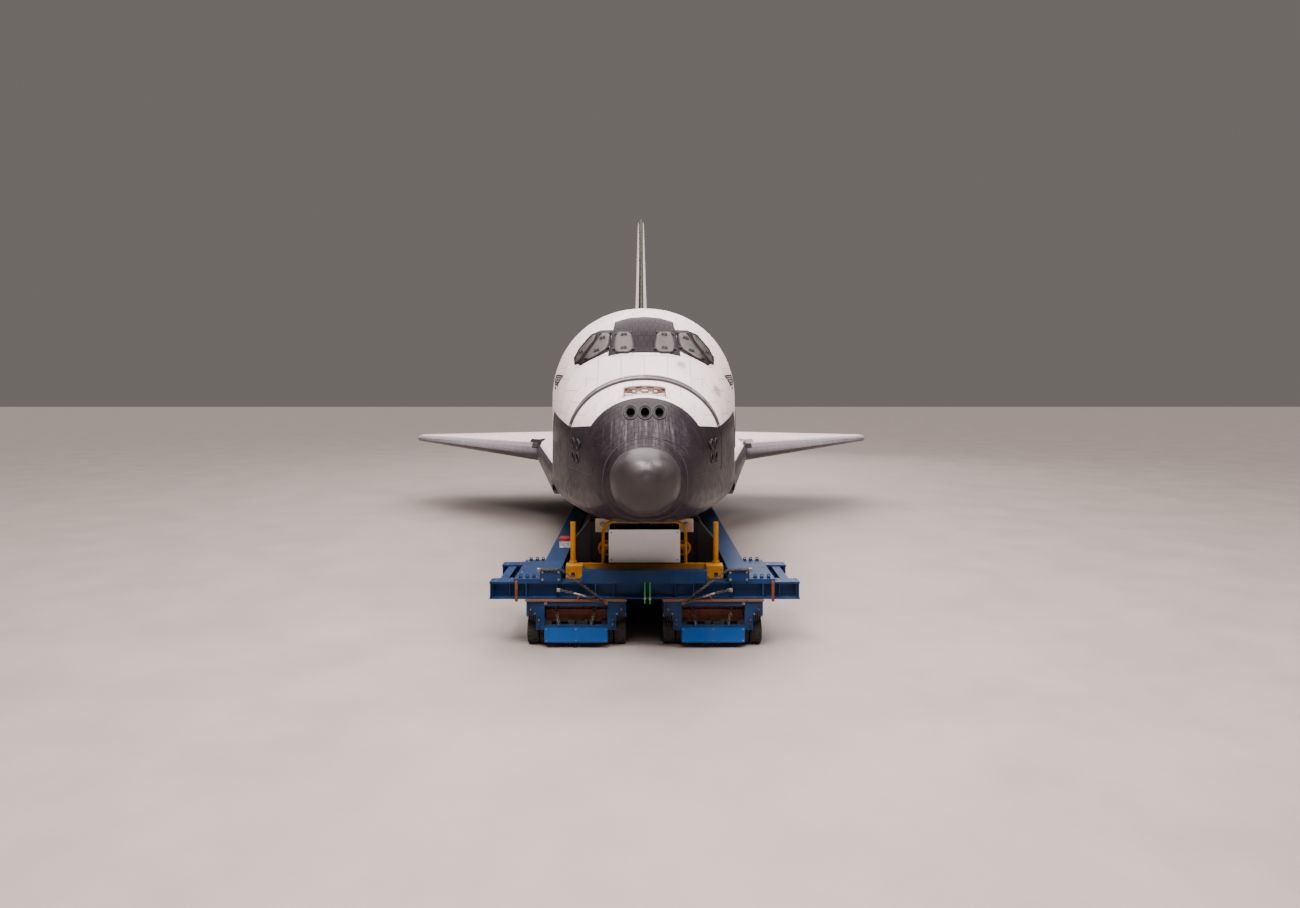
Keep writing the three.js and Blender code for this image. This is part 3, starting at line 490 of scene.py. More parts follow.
# The carbon edge's rear line: its station at the root, the root's x, and the slope from there
EDGE_LINE = (19.9, 4.7, 1.11)
BASE_BLACK_TOP = 3.3
# Station and height of the foot and the tip of the fin's nose
FIN_NOSE = ((26.6, 8.0), (34.5, 16.74))
FIN_STRIP = 1.0
JETS_SOOT = (0, NOSE_Y + 2.8, 4.92)
# The x, station, height and reach of each patched spot
WHITE_PATCHES = ((0.97, 4.26, 6.98, 0.17), (1.91, 4.47, 6.28, 0.22))


def forward_mask(net, place, normal):
    """Black below the line that climbs from the jets to the cabin, and in the hatch's well."""
    x, y, z = net.split(place)
    line = net.curve(net.minus(y, NOSE_Y), BLACK_LINE, 20, 10)
    well = net.times(net.above(net.split(normal)[0], 0.999), net.below(x, HATCH_WELL_X))
    return net.math("MAXIMUM", net.below(z, line), well)


def low_mask(level):
    """Black below a height."""
    return lambda net, place, normal: net.below(net.split(place)[2], level)


def wing_mask(net, place, normal):
    """Black below, on the chine ahead of the carbon edge and on the tiles beside its root."""
    x, y, _ = net.split(place)
    up = net.split(normal)[2]
    station, side = net.minus(y, NOSE_Y), net.size(x)
    under = net.below(up, -0.02)
    chine = net.times(net.below(station, CHINE_END), net.below(up, 0.55))
    edge_station, edge_x, slope = EDGE_LINE
    edge = net.plus(edge_station, net.times(net.minus(side, edge_x), slope))
    behind, column = [net.math("SNAP", value, TILE)
                      for value in (net.minus(station, edge), side)]
    root = net.times(net.times(net.above(column, 4.3), net.below(column, 5.1)),
                     net.below(behind, 1.0))
    return net.math("MAXIMUM", under, net.math("MAXIMUM", chine, root))


def aft_mask(net, place, normal):
    """Black on the base, between the engines, and low on the sides."""
    rear = net.above(net.split(normal)[1], 0.8)
    return net.math("MAXIMUM", rear, net.below(net.split(place)[2], BASE_BLACK_TOP))


def fin_mask(net, place, normal):
    """Dark along the nose of the fin."""
    _, y, z = net.split(place)
    (foot, low), (tip, high) = FIN_NOSE
    edge = net.plus(foot, net.times(net.minus(z, low), (tip - foot) / (high - low)))
    return net.below(net.minus(net.minus(y, NOSE_Y), edge), FIN_STRIP)


def pod_mask(net, place, normal):
    """Black on the rear face of the pod."""
    return net.above(net.split(normal)[1], 0.75)


def nose_marks_and_painted_reflection(net, place, black, white):
    """The nose's colours: soot below the jets, light streaks of painted reflection on the black
    tiles below them, the dark seam and two patched spots.
    """
    x, y, z = net.split(place)
    ahead = net.size(net.minus(y, NOSE_Y + MODULE_END + 0.06))
    white = net.mix(net.ramp(ahead, 0.12, 0.145, 0.9, 0.0), white, rgb(44, 38, 42))
    for patch_x, station, patch_z, reach in WHITE_PATCHES:
        away = net.gap(place, at(patch_x, station, patch_z))
        white = net.mix(net.ramp(away, reach * 0.5, reach, 0.85, 0.0), white,
                        rgb(148, 126, 126))
    away = net.gap(net.join(0.0, y, z), JETS_SOOT)
    black = net.mix(net.ramp(away, 0.3, 0.75, 0.8, 0.0), black, rgb(12, 10, 12))
    # Painted reflection: light streaks of the lamps on the glossy black tiles below the jets.
    painted_reflection_streaks = net.noise(net.join(net.times(x, 15.0), net.times(z, 1.4)), 1.0)
    painted_reflection_streaks = net.times(net.ramp(painted_reflection_streaks, 0.5, 0.7, 0.0, 0.32),
                      net.ramp(net.size(x), 0.5, 1.1, 1.0, 0.0))
    painted_reflection_streaks = net.times(painted_reflection_streaks, net.times(net.ramp(z, 4.95, 5.3),
                                       net.ramp(z, 5.62, 5.8, 1.0, 0.0)))
    return net.mix(painted_reflection_streaks, black, rgb(148, 138, 148)), white


def skin_material(name, mask, colours, blanket=0.76, soot=False, dark=None):
    """A skin of tiles and blankets. Dark, for the fin, is its strip's colour and drops the gloss."""
    made, net, shader, place, normal = new_material(name, 0.0 if dark else 0.1)
    black, white = dark or (*colours.black, 1), (*colours.white, 1)
    if soot:
        # With soot come the nose's other marks, among them light streaks of painted reflection on
        # the black tiles.
        black, white = nose_marks_and_painted_reflection(net, place, black, white)
    skin = net.group("Thermal Skin", Position=place, Normal=normal,
                     Black_Mask=mask(net, place, normal), White=white, Black=black, Tile=TILE,
                     Blanket=blanket)
    finish_shader(net, shader, skin["Color"], skin["Roughness"], skin["Height"], 0.004)
    return made


def worked_material(name, light, dark, scale, rough, metallic=0.0, relief=0.001,
                    stretch=(1, 1, 1)):
    """A finish of two tones with grain, for bare metal, rubber, timber, cloth and small parts."""
    made, net, shader, place, _ = new_material(name)
    spread = net.stretch(place, stretch)
    broad = net.ramp(net.noise(spread, scale, 5.0, 0.62), 0.35, 0.65)
    fine = net.noise(spread, scale * 9.0, 4.0, 0.6)
    share = net.plus(net.times(broad, 0.75), net.times(fine, 0.25))
    finish_shader(net, shader, net.mix(share, rgb(*dark), rgb(*light)),
                  net.ramp(share, 0, 1, *rough), net.plus(fine, net.times(broad, 0.5)), relief,
                  metallic)
    return made


def paint_material(name, paint, wear, dust):
    """A painted steel with its wear and dust."""
    made, net, shader, place, normal = new_material(name, 0.12)
    coat = net.group("Painted Steel", Position=place, Normal=normal, Paint=(*paint, 1),
                     Wear=wear, Dust=dust)
    finish_shader(net, shader, coat["Color"], coat["Roughness"], coat["Height"], 0.0015,
                  coat["Metallic"])
    return made


def cap_material(colours):
    """The nose cap's coated carbon: mottled grey, with painted shade that darkens it below."""
    made, net, shader, place, _ = new_material("nose carbon", 0.4)
    cloud = net.ramp(net.noise(place, 3.2, 5.0, 0.6), 0.36, 0.66)
    grain = net.noise(place, 60.0, 4.0, 0.6)
    # Painted shade: the cap's colour darkens towards its bottom, as if lit from above.
    low = net.ramp(net.split(place)[2], 3.75, 5.1, 0.8, 0.0)
    color = net.mix(net.times(cloud, 0.35), (*colours.carbon, 1), rgb(80, 71, 75))
    color = net.mix(low, color, rgb(38, 32, 33))
    finish_shader(net, shader, color, net.ramp(cloud, 0, 1, 0.3, 0.42), grain, 0.0008)
    return made


def edge_material(colours):
    """The wing's carbon leading edge, a row of panels that each weathered in their own way, darker
    towards the root and with painted shade on the faces that look down.
    """
    made, net, shader, place, normal = new_material("edge carbon")
    x, y, z = net.split(place)
    side = net.size(x)
    along = net.times(net.plus(side, y), math.sqrt(0.5))
    grid = net.group("Tile Grid", Vector=net.join(along, 0.05), Width=0.463, Height=40.0,
                     Gap=0.008)
    worn = net.group("Weathering", Position=place, Scale=2.5)
    root = net.times(net.below(net.math("SNAP", side, TILE), 4.95), net.above(z, 3.6))
    color = (*colours.edge, 1)
    for share, tone in (
            (net.ramp(side, 4.7, 9.5, 0.6, 0.0), rgb(108, 99, 104)),
            (net.times(grid["Tone"], 0.4), rgb(132, 124, 132)),
            (net.times(worn["Streaks"], 0.35), rgb(128, 120, 132)),
            # Painted shade: the faces that look down are darkened.
            (net.ramp(net.split(normal)[2], -0.55, 0.05, 0.9, 0.0), rgb(58, 48, 52)),
            (root, (*colours.black, 1)), (net.times(grid["Seam"], 0.7), rgb(52, 46, 52))):
        color = net.mix(share, color, tone)
    height = net.minus(net.times(worn["Grain"], 0.2), grid["Seam"])
    finish_shader(net, shader, color, net.ramp(worn["Blotches"], 0, 1, 0.42, 0.6), height, 0.006)
    return made


def colour(name, about, *picked):
    return bpy.props.FloatVectorProperty(name=name, description=about, subtype="COLOR",
                                         default=rgb(*picked)[:3], min=0, max=1)


def length(name, about, default, low, high):
    return bpy.props.FloatProperty(name=name, description=about, default=default, min=low,
                                   max=high, unit="LENGTH")


class ColourSettings(bpy.types.PropertyGroup):
    """Colours of the finishes, as linear values."""

    white: colour("White skin", "Colour of the blankets and white tiles", 242, 226, 226)
    black: colour("Black tiles", "Colour of the black tiles", 31, 25, 29)
    carbon: colour("Nose carbon", "Colour of the nose cap", 50, 43, 45)
    edge: colour("Edge carbon", "Colour of the wing's leading edge panels", 176, 167, 175)
    blue: colour("Transporter blue", "Paint of the beams and wheeled units", 3, 45, 88)
    navy: colour("Tower navy", "Paint of the pedestals under the orbiter", 5, 7, 11)
    yellow: colour("Frame yellow", "Paint of the access frame", 178, 116, 4)
    board: colour("Board", "Colour of the blank board", 240, 238, 238)


class FittingSettings(bpy.types.PropertyGroup):
    """Sizes of the fittings that are added round the frame."""

    seal_width: length("Seal width", "Width of the gap seals round the jets' module", 0.06,
                       0.01, 0.2)
    cover_rim: length("Cover rim", "Width of the dark rim round each window cover", 0.02,
                      0.005, 0.1)
    bolt_radius: length("Bolt radius", "Radius of the bolt heads on the transporter", 0.022,
                        0.005, 0.05)
    chain_wire: length("Chain wire", "Radius of the wire of the tie-down chains", 0.009,
                       0.004, 0.03)
    timber: length("Timber overhang", "How far the packing timbers stand past the beams", 0.04,
                   0.0, 0.2)
    tread_depth: length("Tread depth", "Depth of the grooves in the tyres", 0.012, 0.002, 0.03)


# Light and dark tone, scale of the mottle, roughness, metal, relief and stretch
WORKED = {
    "bell": ((120, 108, 98), (58, 48, 44), 2.5, (0.28, 0.5), 0.85, 0.002, (1, 0.4, 1)),
    "bell inside": ((92, 74, 62), (34, 27, 24), 3.0, (0.4, 0.7), 0.6, 0.002, (1, 0.3, 1)),
    "cavity": ((34, 28, 30), (10, 8, 9), 6.0, (0.5, 0.8), 0.2),
    "seal": ((66, 58, 62), (24, 20, 22), 20.0, (0.6, 0.85)),
    "cover": ((75, 67, 65), (56, 49, 47), 7.0, (0.38, 0.52), 0.0, 0.0006),
    "rim": ((38, 32, 35), (16, 13, 15), 25.0, (0.6, 0.8)),
    "steel": ((168, 164, 158), (84, 78, 74), 18.0, (0.3, 0.55), 0.9, 0.0006),
    "rust": ((132, 74, 46), (60, 36, 28), 14.0, (0.6, 0.9), 0.2, 0.002),
    "timber": ((142, 90, 44), (84, 50, 24), 6.0, (0.65, 0.9), 0.0, 0.002, (6, 0.5, 6)),
    "tyre": ((50, 46, 44), (18, 17, 17), 10.0, (0.7, 0.92)),
    "hose": ((44, 42, 44), (14, 14, 16), 30.0, (0.4, 0.6), 0.0, 0.0008),
    "radiator": ((206, 208, 212), (182, 186, 192), 1.6, (0.2, 0.32), 0.8, 0.0008, (1, 0.2, 1)),
    "liner": ((206, 204, 196), (158, 154, 146), 3.0, (0.6, 0.85), 0.0, 0.006),
}


def make_materials(colours):
    """Every finish by its name."""
    made = {key: skin_material(name, mask, colours, **more) for key, name, mask, more in (
        ("forward", "forward skin", forward_mask, {"blanket": 0.6, "soot": True}),
        ("mid", "mid skin", low_mask(3.55), {}),
        ("aft", "aft skin", aft_mask, {}),
        ("door", "door blanket", low_mask(0.0), {"blanket": 0.9}),
        ("wing", "wing skin", wing_mask, {}),
        ("fin", "fin skin", fin_mask, {"dark": rgb(98, 103, 92)}),
        ("pod", "pod skin", pod_mask, {"blanket": 0.5}),
        ("tile", "black tile", low_mask(99.0), {}),
        ("white", "white tile", low_mask(-1.0), {"blanket": 0.2}))}
    made.update(cap=cap_material(colours), edge=edge_material(colours))
    for key, name, paint, wear, dust in (
            ("blue", "blue paint", colours.blue, 0.8, 0.08),
            ("bright", "bright blue panel", rgb(1, 78, 152)[:3], 0.3, 0.04),
            ("navy", "navy paint", colours.navy, 0.6, 0.12),
            ("yellow", "yellow paint", colours.yellow, 0.8, 0.12),
            ("board", "board face", colours.board, 0.1, 0.02),
            ("beige", "pad paint", rgb(206, 194, 168)[:3], 0.6, 0.3),
            ("red", "red paint", rgb(170, 40, 30)[:3], 0.5, 0.2),
            ("green", "green webbing", rgb(40, 150, 60)[:3], 0.2, 0.2)):
        made[key] = paint_material(name, paint, wear, dust)
    made.update({name: worked_material(name, *row) for name, row in WORKED.items()})
    return made


# Modelling


def deselect():
    if bpy.context.mode != "OBJECT":
        bpy.ops.object.mode_set(mode="OBJECT")
    bpy.ops.object.select_all(action="DESELECT")


def take(obj):
    deselect()
    obj.select_set(True)
    bpy.context.view_layer.objects.active = obj
    return obj


def settle(obj):
    """Puts the object at the origin, with its place and size in its mesh."""
    take(obj)
    bpy.ops.object.transform_apply(location=True, rotation=True, scale=True)
    return obj


def toward(way):
    return Vector(way).to_track_quat("Z", "Y").to_euler()


def block(low, high):
    """A block between two corners, as a start."""
    deselect()
    low, high = Vector(low), Vector(high)
    bpy.ops.mesh.primitive_cube_add(size=1, location=(low + high) / 2, scale=high - low)
    return settle(bpy.context.object)


def drum(start, end, radius, sides=16, end_radius=None):
    """A round bar or cone from one point to another, as a start."""
    deselect()
    start, end = Vector(start), Vector(end)
    spot = {"location": (start + end) / 2, "rotation": toward(end - start), "vertices": sides,
            "depth": (end - start).length}
    if end_radius is None:
        bpy.ops.mesh.primitive_cylinder_add(radius=radius, **spot)
    else:
        bpy.ops.mesh.primitive_cone_add(radius1=radius, radius2=end_radius, **spot)
    return settle(bpy.context.object)


def edit(obj, pick, *steps):
    """Picks faces by centre and normal in edit mode, and runs each step on them."""
    take(obj)
    bpy.ops.object.mode_set(mode="EDIT")
    bpy.ops.mesh.select_mode(type="FACE")
    bpy.ops.mesh.select_all(action="DESELECT")
    mesh = bmesh.from_edit_mesh(obj.data)
    for face in mesh.faces:
        face.select = bool(pick(face.calc_center_median(), face.normal))
    bmesh.update_edit_mesh(obj.data)
    for step in steps:
        step()
    bpy.ops.object.mode_set(mode="OBJECT")
    return obj


def everything(centre, normal):
    return True


def facing(*way):
    """Picks the faces that look one way."""
    return lambda centre, normal: normal.dot(Vector(way)) > 0.9


def across(axis):
    """Picks the faces at both ends of an axis."""
    return lambda centre, normal: abs(normal[axis]) > 0.9


FRONT, TOP = facing(0, -1, 0), facing(0, 0, 1)


def inset(width, depth=0.0):
    return lambda: bpy.ops.mesh.inset(thickness=width, depth=depth, use_even_offset=True)


def extrude(way):
    return lambda: bpy.ops.mesh.extrude_region_move(TRANSFORM_OT_translate={"value": way})


def shrink(factor):
    return lambda: bpy.ops.transform.resize(value=(factor,) * 3)


def outward(obj):
    return edit(obj, everything, lambda: bpy.ops.mesh.normals_make_consistent(inside=False))


def smooth(obj, angle):
    take(obj)
    bpy.ops.object.shade_smooth_by_angle(angle=math.radians(angle))
    return obj


def modify(obj, kind, **settings):
    """Adds a modifier with its settings and applies it."""
    take(obj)
    step = obj.modifiers.new(kind, kind)
    for key, value in settings.items():
        setattr(step, key, value)
    bpy.ops.object.modifier_apply(modifier=step.name)
    return obj


def soften(obj, width, segments=2, angle=35):
    """Bevels the sharp edges and shades what is left smooth."""
    modify(obj, "BEVEL", width=width, segments=segments, limit_method="ANGLE",
           angle_limit=math.radians(angle))
    return smooth(obj, angle)


def paint(obj, finish):
    obj.data.materials.clear()
    obj.data.materials.append(FINISH[finish])
    return obj


def finished(obj, finish, soft, steps, face, segments):
    """Runs steps on the picked faces, softens the edges and paints."""
    if steps:
        edit(obj, face, *steps)
    return paint(soften(obj, soft, segments) if soft else obj, finish)


def slab(low, high, finish, soft=0.0, *steps, face=FRONT, segments=2):
    """A painted block between two corners."""
    return finished(block(low, high), finish, soft, steps, face, segments)


def bar(start, end, radius, finish, soft=0.0, *steps, sides=16, face=FRONT, segments=2):
    """A painted round bar."""
    return finished(drum(start, end, radius, sides), finish, soft, steps, face, segments)


def loop(middle, axis, radius, wire, finish, rounds=24, sides=8):
    """A painted ring of round wire."""
    deselect()
    bpy.ops.mesh.primitive_torus_add(location=middle, rotation=toward(axis),
                                     major_radius=radius, minor_radius=wire,
                                     major_segments=rounds, minor_segments=sides)
    return paint(settle(bpy.context.object), finish)


def pipe(points, radius, finish, sides=8, closed=False):
    """A painted round bar or hose along a line of points."""
    deselect()
    bpy.ops.curve.primitive_bezier_curve_add(location=(0, 0, 0))
    line = bpy.context.object.data
    line.splines.clear()
    run = line.splines.new("POLY")
    run.points.add(len(points) - 1)
    for dot, spot in zip(run.points, points):
        dot.co = (*spot, 1)
    run.use_cyclic_u = closed
    line.dimensions = "3D"
    line.bevel_depth = radius
    line.bevel_resolution = max(0, sides // 2 - 2)
    line.use_fill_caps = True
    bpy.ops.object.convert(target="MESH")
    return paint(settle(bpy.context.object), finish)


def move(obj, matrix):
    """Moves the mesh by a matrix or a vector."""
    obj.data.transform(matrix if isinstance(matrix, Matrix) else Matrix.Translation(matrix))
    return obj


def twin(obj, matrix=MIRROR):
    """A copy with its own mesh, moved or mirrored."""
    made = obj.copy()
    made.data = obj.data.copy()
    bpy.context.scene.collection.objects.link(made)
    move(made, matrix)
    if isinstance(matrix, Matrix) and matrix.determinant() < 0:
        made.data.flip_normals()
    return made


def merged(parts):
    """Several painted parts as one."""
    take(parts[0])
    for part in parts:
        part.select_set(True)
    if len(parts) > 1:
        bpy.ops.object.join()
    return parts[0]


def mirrored(parts):
    """The parts as one, and its twin on the other side."""
    port = merged(parts)
    return [port, twin(port)]


def spread(obj, spots):
    """Copies of a part at each place, as one. The first part is used up."""
    copies = [twin(obj, spot) for spot in spots]
    bpy.data.objects.remove(obj)
    return merged(copies)


def fit(parts, name, slot, body="root", *replaced):
    """Joins painted parts into one named piece that rides on its body."""
    piece = merged(parts)
    piece.name = piece.data.name = name
    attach(piece, body)
    if replaced:
        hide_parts(*replaced)


def smooth_copy(node, finish, angle=32):
    """A merged copy of a node, smooth across its gentle edges."""
    source = frame["nodes"][node]
    made = source.copy()
    made.data = source.data.copy()
    made.parent = None
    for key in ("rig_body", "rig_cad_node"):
        if key in made:
            del made[key]
    bpy.context.scene.collection.objects.link(made)
    made.hide_render = made.hide_viewport = False
    edit(made, everything, lambda: bpy.ops.mesh.remove_doubles(threshold=0.00005))
    return paint(smooth(made, angle), finish)


def round_out(obj, rises=(0.0,)):
    """Halves the skin's triangles twice and sets their corners on the true curve of the body."""
    for _ in range(2):
        edit(obj, everything, lambda: bpy.ops.mesh.subdivide(number_cuts=1))
    for corner in obj.data.vertices:
        station = corner.co.y - NOSE_Y
        if station < 0.01:
            continue
        values = section(round(station, 4))
        for rise in rises:
            x, z = on_body(corner.co.x, corner.co.z, values, rise)
            moved = Vector((x, corner.co.y, z))
            if (moved - corner.co).length < 0.03:
                corner.co = moved
                break
    smooth(obj, 28)


# Operators


class ORBITER_OT_finishes(bpy.types.Operator):
    """Makes the paint, tile, blanket, metal and rubber finishes"""

    bl_idname = "orbiter.finishes"
    bl_label = "Finishes"

    def execute(self, context):
        build_groups()
        FINISH.update(make_materials(context.scene.orbiter_colours))
        return {"FINISHED"}


# Node, body, finish and slot of each skin. A star stands for left and right.
SKINS = (
    ("nose_cap", "root", "cap", "nose_carbon"),
    ("forward_fuselage", "root", "forward", "white_blanket"),
    ("thruster_module", "root", "forward", "black_tile"),
    ("mid_fuselage", "root", "mid", "white_blanket"),
    ("aft_fuselage", "root", "aft", "white_blanket"),
    ("side_hatch", "side_hatch", "white", "white_blanket"),
    ("body_flap", "body_flap", "wing", "black_tile"),
    ("fin", "root", "fin", "white_blanket"),
    ("payload_door_*", "payload_door_*", "door", "white_blanket"),
    ("wing_*", "root", "wing", "white_blanket"),
    ("leading_edge_*", "root", "edge", "edge_carbon"),
    ("rudder_*", "rudder_*", "fin", "white_blanket"),
    ("engine_pod_*", "root", "pod", "white_blanket"),
    ("elevon_*_inner", "elevon_*_inner", "wing", "white_blanket"),
    ("elevon_*_outer", "elevon_*_outer", "wing", "white_blanket"),
)
# The skins that follow the body's curve, and how far their curves stand off it
ROUNDED = {"nose_cap": (0,), "forward_fuselage": (0,), "thruster_module": (0,),
           "mid_fuselage": (0,), "aft_fuselage": (0,), "payload_door_left": (0, -0.16),
           "payload_door_right": (0, -0.16)}


class ORBITER_OT_skins(bpy.types.Operator):
    """Covers the fuselage, wings, doors and fin in their tiles and blankets"""

    bl_idname = "orbiter.skins"
    bl_label = "Skins"

    def execute(self, context):
        rows = [row for row in SKINS if "*" not in row[0]]
        rows += [[word.replace("*", side) for word in row] for side in SIDES for row in SKINS
                 if "*" in row[0]]
        for node, body, finish, slot in rows:
            skin = smooth_copy(node, finish)
            if node in ROUNDED:
                round_out(skin, ROUNDED[node])
            fit([skin], f"{node}_skin", slot, body, node)
        return {"FINISHED"}


TRANSPORTER_PAINTS = {
    "blue": ("front_cross_beam", "second_cross_beam", "rear_cross_beam_1", "rear_cross_beam_2",
             "long_beam_left", "long_beam_right", "wheel_unit_front_left",
             "wheel_unit_front_right", "wheel_unit_rear_left", "wheel_unit_rear_right"),
    "navy": ("front_pedestal", "aft_pedestal_left", "aft_pedestal_right"),
    "yellow": ("access_frame",),
    "board": ("notice_board",),
}


class ORBITER_OT_paints(bpy.types.Operator):
    """Paints the transporter's beams, pedestals, frames and wheeled units"""

    bl_idname = "orbiter.paints"
    bl_label = "Transporter paint"

    def execute(self, context):
        for finish, nodes in TRANSPORTER_PAINTS.items():
            for node in nodes:
                paint(frame["nodes"][node], finish)
        return {"FINISHED"}


JETS_FORWARD = ((-0.33, 5.82), (0.0, 5.82), (0.33, 5.82))
JETS_UPWARD = (-0.27, 0.0, 0.27)
JETS_SIDE = ((2.6, 5.08), (2.6, 4.76), (3.0, 5.08), (3.0, 4.76))
JET_RADIUS = 0.115
JETS_STATION = 2.75
# Station and height of the corners of the module's edge and of the shoulder fitting
MODULE_EDGE = ((0.98, 5.25), (1.5, 4.4), (2.2, 4.4), (2.9, 4.4), (3.6, 4.4), (3.6, 5.3))
SHOULDER_RING = ((5.36, 6.7), (5.85, 6.71), (6.35, 6.72), (6.4, 6.56), (6.1, 6.44), (5.74, 6.5))
SHOULDER_STUDS = ((5.48, 6.67), (5.72, 6.44), (5.98, 6.36))
VENT_STATIONS = (7.9, 10.4, 13.1, 16.0, 19.2, 22.4, 25.3, 28.4)
VENT_CORNERS = ((-0.26, -0.14), (0.26, -0.14), (0.26, 0.14), (-0.26, 0.14))
VENT_Z = 5.35
# Where the three slats inside the shoulder's ring start, and their heights
SLAT_STATION, SLATS = 5.62, (6.53, 6.59, 6.65)
# Half width and fore and aft stations of the open panel round the upward jets
PANEL_HALF, PANEL_FORE, PANEL_AFT = 0.53, 2.42, 3.16
# The x, station, width and length of the lumps on each half of the open panel
PANEL_LUMPS = ((0.4, 2.52, 0.16, 0.07), (0.42, 2.98, 0.13, 0.2), (0.14, 3.0, 0.16, 0.09),
               (0.135, 2.53, 0.1, 0.06))


class ORBITER_OT_nose(bpy.types.Operator):
    """Fits the seals, the jets' rims and liners and the open panel on the nose"""

    bl_idname = "orbiter.nose"
    bl_label = "Nose fittings"

    def execute(self, context):
        self.seals(context.scene.orbiter_fittings.seal_width)
        self.jets()
        self.open_panel()
        return {"FINISHED"}

    def seals(self, width):
        parts = [pipe(ring_points(station, rise, lowest), wire, "seal", sides, lowest is None)
                 for station, rise, lowest, wire, sides in (
                     (MODULE_END, 0.002, 5.34, width * 0.7, 14),
                     (MODULE_END + 0.14, 0.0, 5.34, width * 0.2, 6),
                     (2.2, -0.012, 5.49, 0.02, 6), (CAP_END, -0.012, None, 0.022, 8),
                     (0.93, -0.006, None, 0.018, 6))]
        for side in (1, -1):
            run = [flank(side, s0 + (s1 - s0) * share, z0 + (z1 - z0) * share, -0.004)
                   for (s0, z0), (s1, z1) in zip(MODULE_EDGE, MODULE_EDGE[1:])
                   for share in (0, 0.34, 0.67)]
            parts.append(pipe(run, 0.012, "seal", 6))
            ring = [flank(side, s, z) for s, z in SHOULDER_RING]
            parts.append(pipe(ring, 0.024, "seal", 8, True))
            parts += [pipe([flank(side, SLAT_STATION + 0.15 * i, z) for i in range(5)], 0.02,
                           "seal", 6) for z in SLATS]
            out = Vector((side, -0.3, 0.3)) * 0.02
            for foot in [flank(side, s, z) for s, z in SHOULDER_STUDS]:
                parts.append(bar(foot - out, foot + out, 0.04, "seal", 0.006, sides=10))
            for middle in VENT_STATIONS:
                door = [flank(side, middle + s, VENT_Z + z, -0.002) for s, z in VENT_CORNERS]
                parts.append(pipe(door, 0.009, "seal", 6, True))
        fit(parts, "nose_seals", "black_tile")

    def jets(self):
        parts = []
        turns = [math.tau * i / 20 for i in range(20)]
        for x, z in JETS_FORWARD:
            for radius, rise, wire, finish, sides in (
                    (JET_RADIUS, 0.004, 0.016, "rim", 8), (0.152, -0.004, 0.028, "rim", 8),
                    (0.19, -0.002, 0.006, "cover", 6)):
                ring = [crown(x + radius * math.cos(a), z + radius * math.sin(a), rise)
                        for a in turns]
                parts.append(pipe(ring, wire, finish, sides, True))
            parts.append(self.liner(at(x, 1.83, z), (0, 1, 0)))
        for x in JETS_UPWARD:
            foot = top_point(x, JETS_STATION)
            parts.append(loop(foot, (0, -0.3, 1), JET_RADIUS + 0.012, 0.02, "cover", 20))
            parts.append(self.liner(foot - Vector((0, 0, 0.04)), (0, 0, -1)))
        for station, z in JETS_SIDE:
            for side in (1, -1):
                mouth = at(side * section(station)[3], station, z - 0.05)
                parts.append(loop(mouth, (side, -0.33, 0), 0.114, 0.02, "rim", 18))
                parts.append(self.liner(mouth - Vector((side * 0.05, 0, 0)), (-side, 0, 0)))
        fit(parts, "jet_rims", "nozzle_metal")

    def liner(self, mouth, way):
        """A jet's tapering throat, a cup that is open at its mouth."""
        way = Vector(way)
        cup = drum(mouth, mouth + way * 0.3, JET_RADIUS - 0.012, 18, 0.05)
        edit(cup, facing(*-way), inset(0.012), extrude(way * 0.26), shrink(0.5))
        return paint(smooth(cup, 40), "cavity")

    def open_panel(self):
        """The uncovered bay round the upward jets: a frame, a dark red floor and its fittings."""
        half, fore, aft, width = PANEL_HALF, PANEL_FORE, PANEL_AFT, 0.045
        corners = [(-half, fore), (half, fore), (half, aft), (-half, aft)]
        outline = [top_point(x0 + (x1 - x0) * i / 8, s0 + (s1 - s0) * i / 8, 0.008)
                   for (x0, s0), (x1, s1) in zip(corners, corners[1:] + corners[:1])
                   for i in range(8)]
        parts = [pipe(outline, width / 2, "white", 6, True)]
        deselect()
        bpy.ops.mesh.primitive_grid_add(x_subdivisions=14, y_subdivisions=10, size=1)
        tray = bpy.context.object
        tray.scale = (half * 2, aft - fore, 1)
        settle(tray)
        for corner in tray.data.vertices:
            corner.co = top_point(corner.co.x, corner.co.y + (fore + aft) / 2, 0.006)
        modify(tray, "SOLIDIFY", thickness=0.012, offset=-1)
        for x in JETS_UPWARD:
            middle = top_point(x, JETS_STATION)
            edit(tray, lambda centre, normal: (centre - middle).length < JET_RADIUS - 0.01,
                 lambda: bpy.ops.mesh.delete(type="FACE"))
        parts.append(paint(tray, "rust"))
        for x, s, wide, deep in PANEL_LUMPS:
            for side in (1, -1):
                lump = slab((-wide / 2, -deep / 2, -0.02), (wide / 2, deep / 2, 0.035),
                            "cover" if s > 2.6 else "white", 0.012)
                parts.append(move(lump, top_point(side * x, s)))
        fit(parts, "upper_jets_bay", "white_blanket")


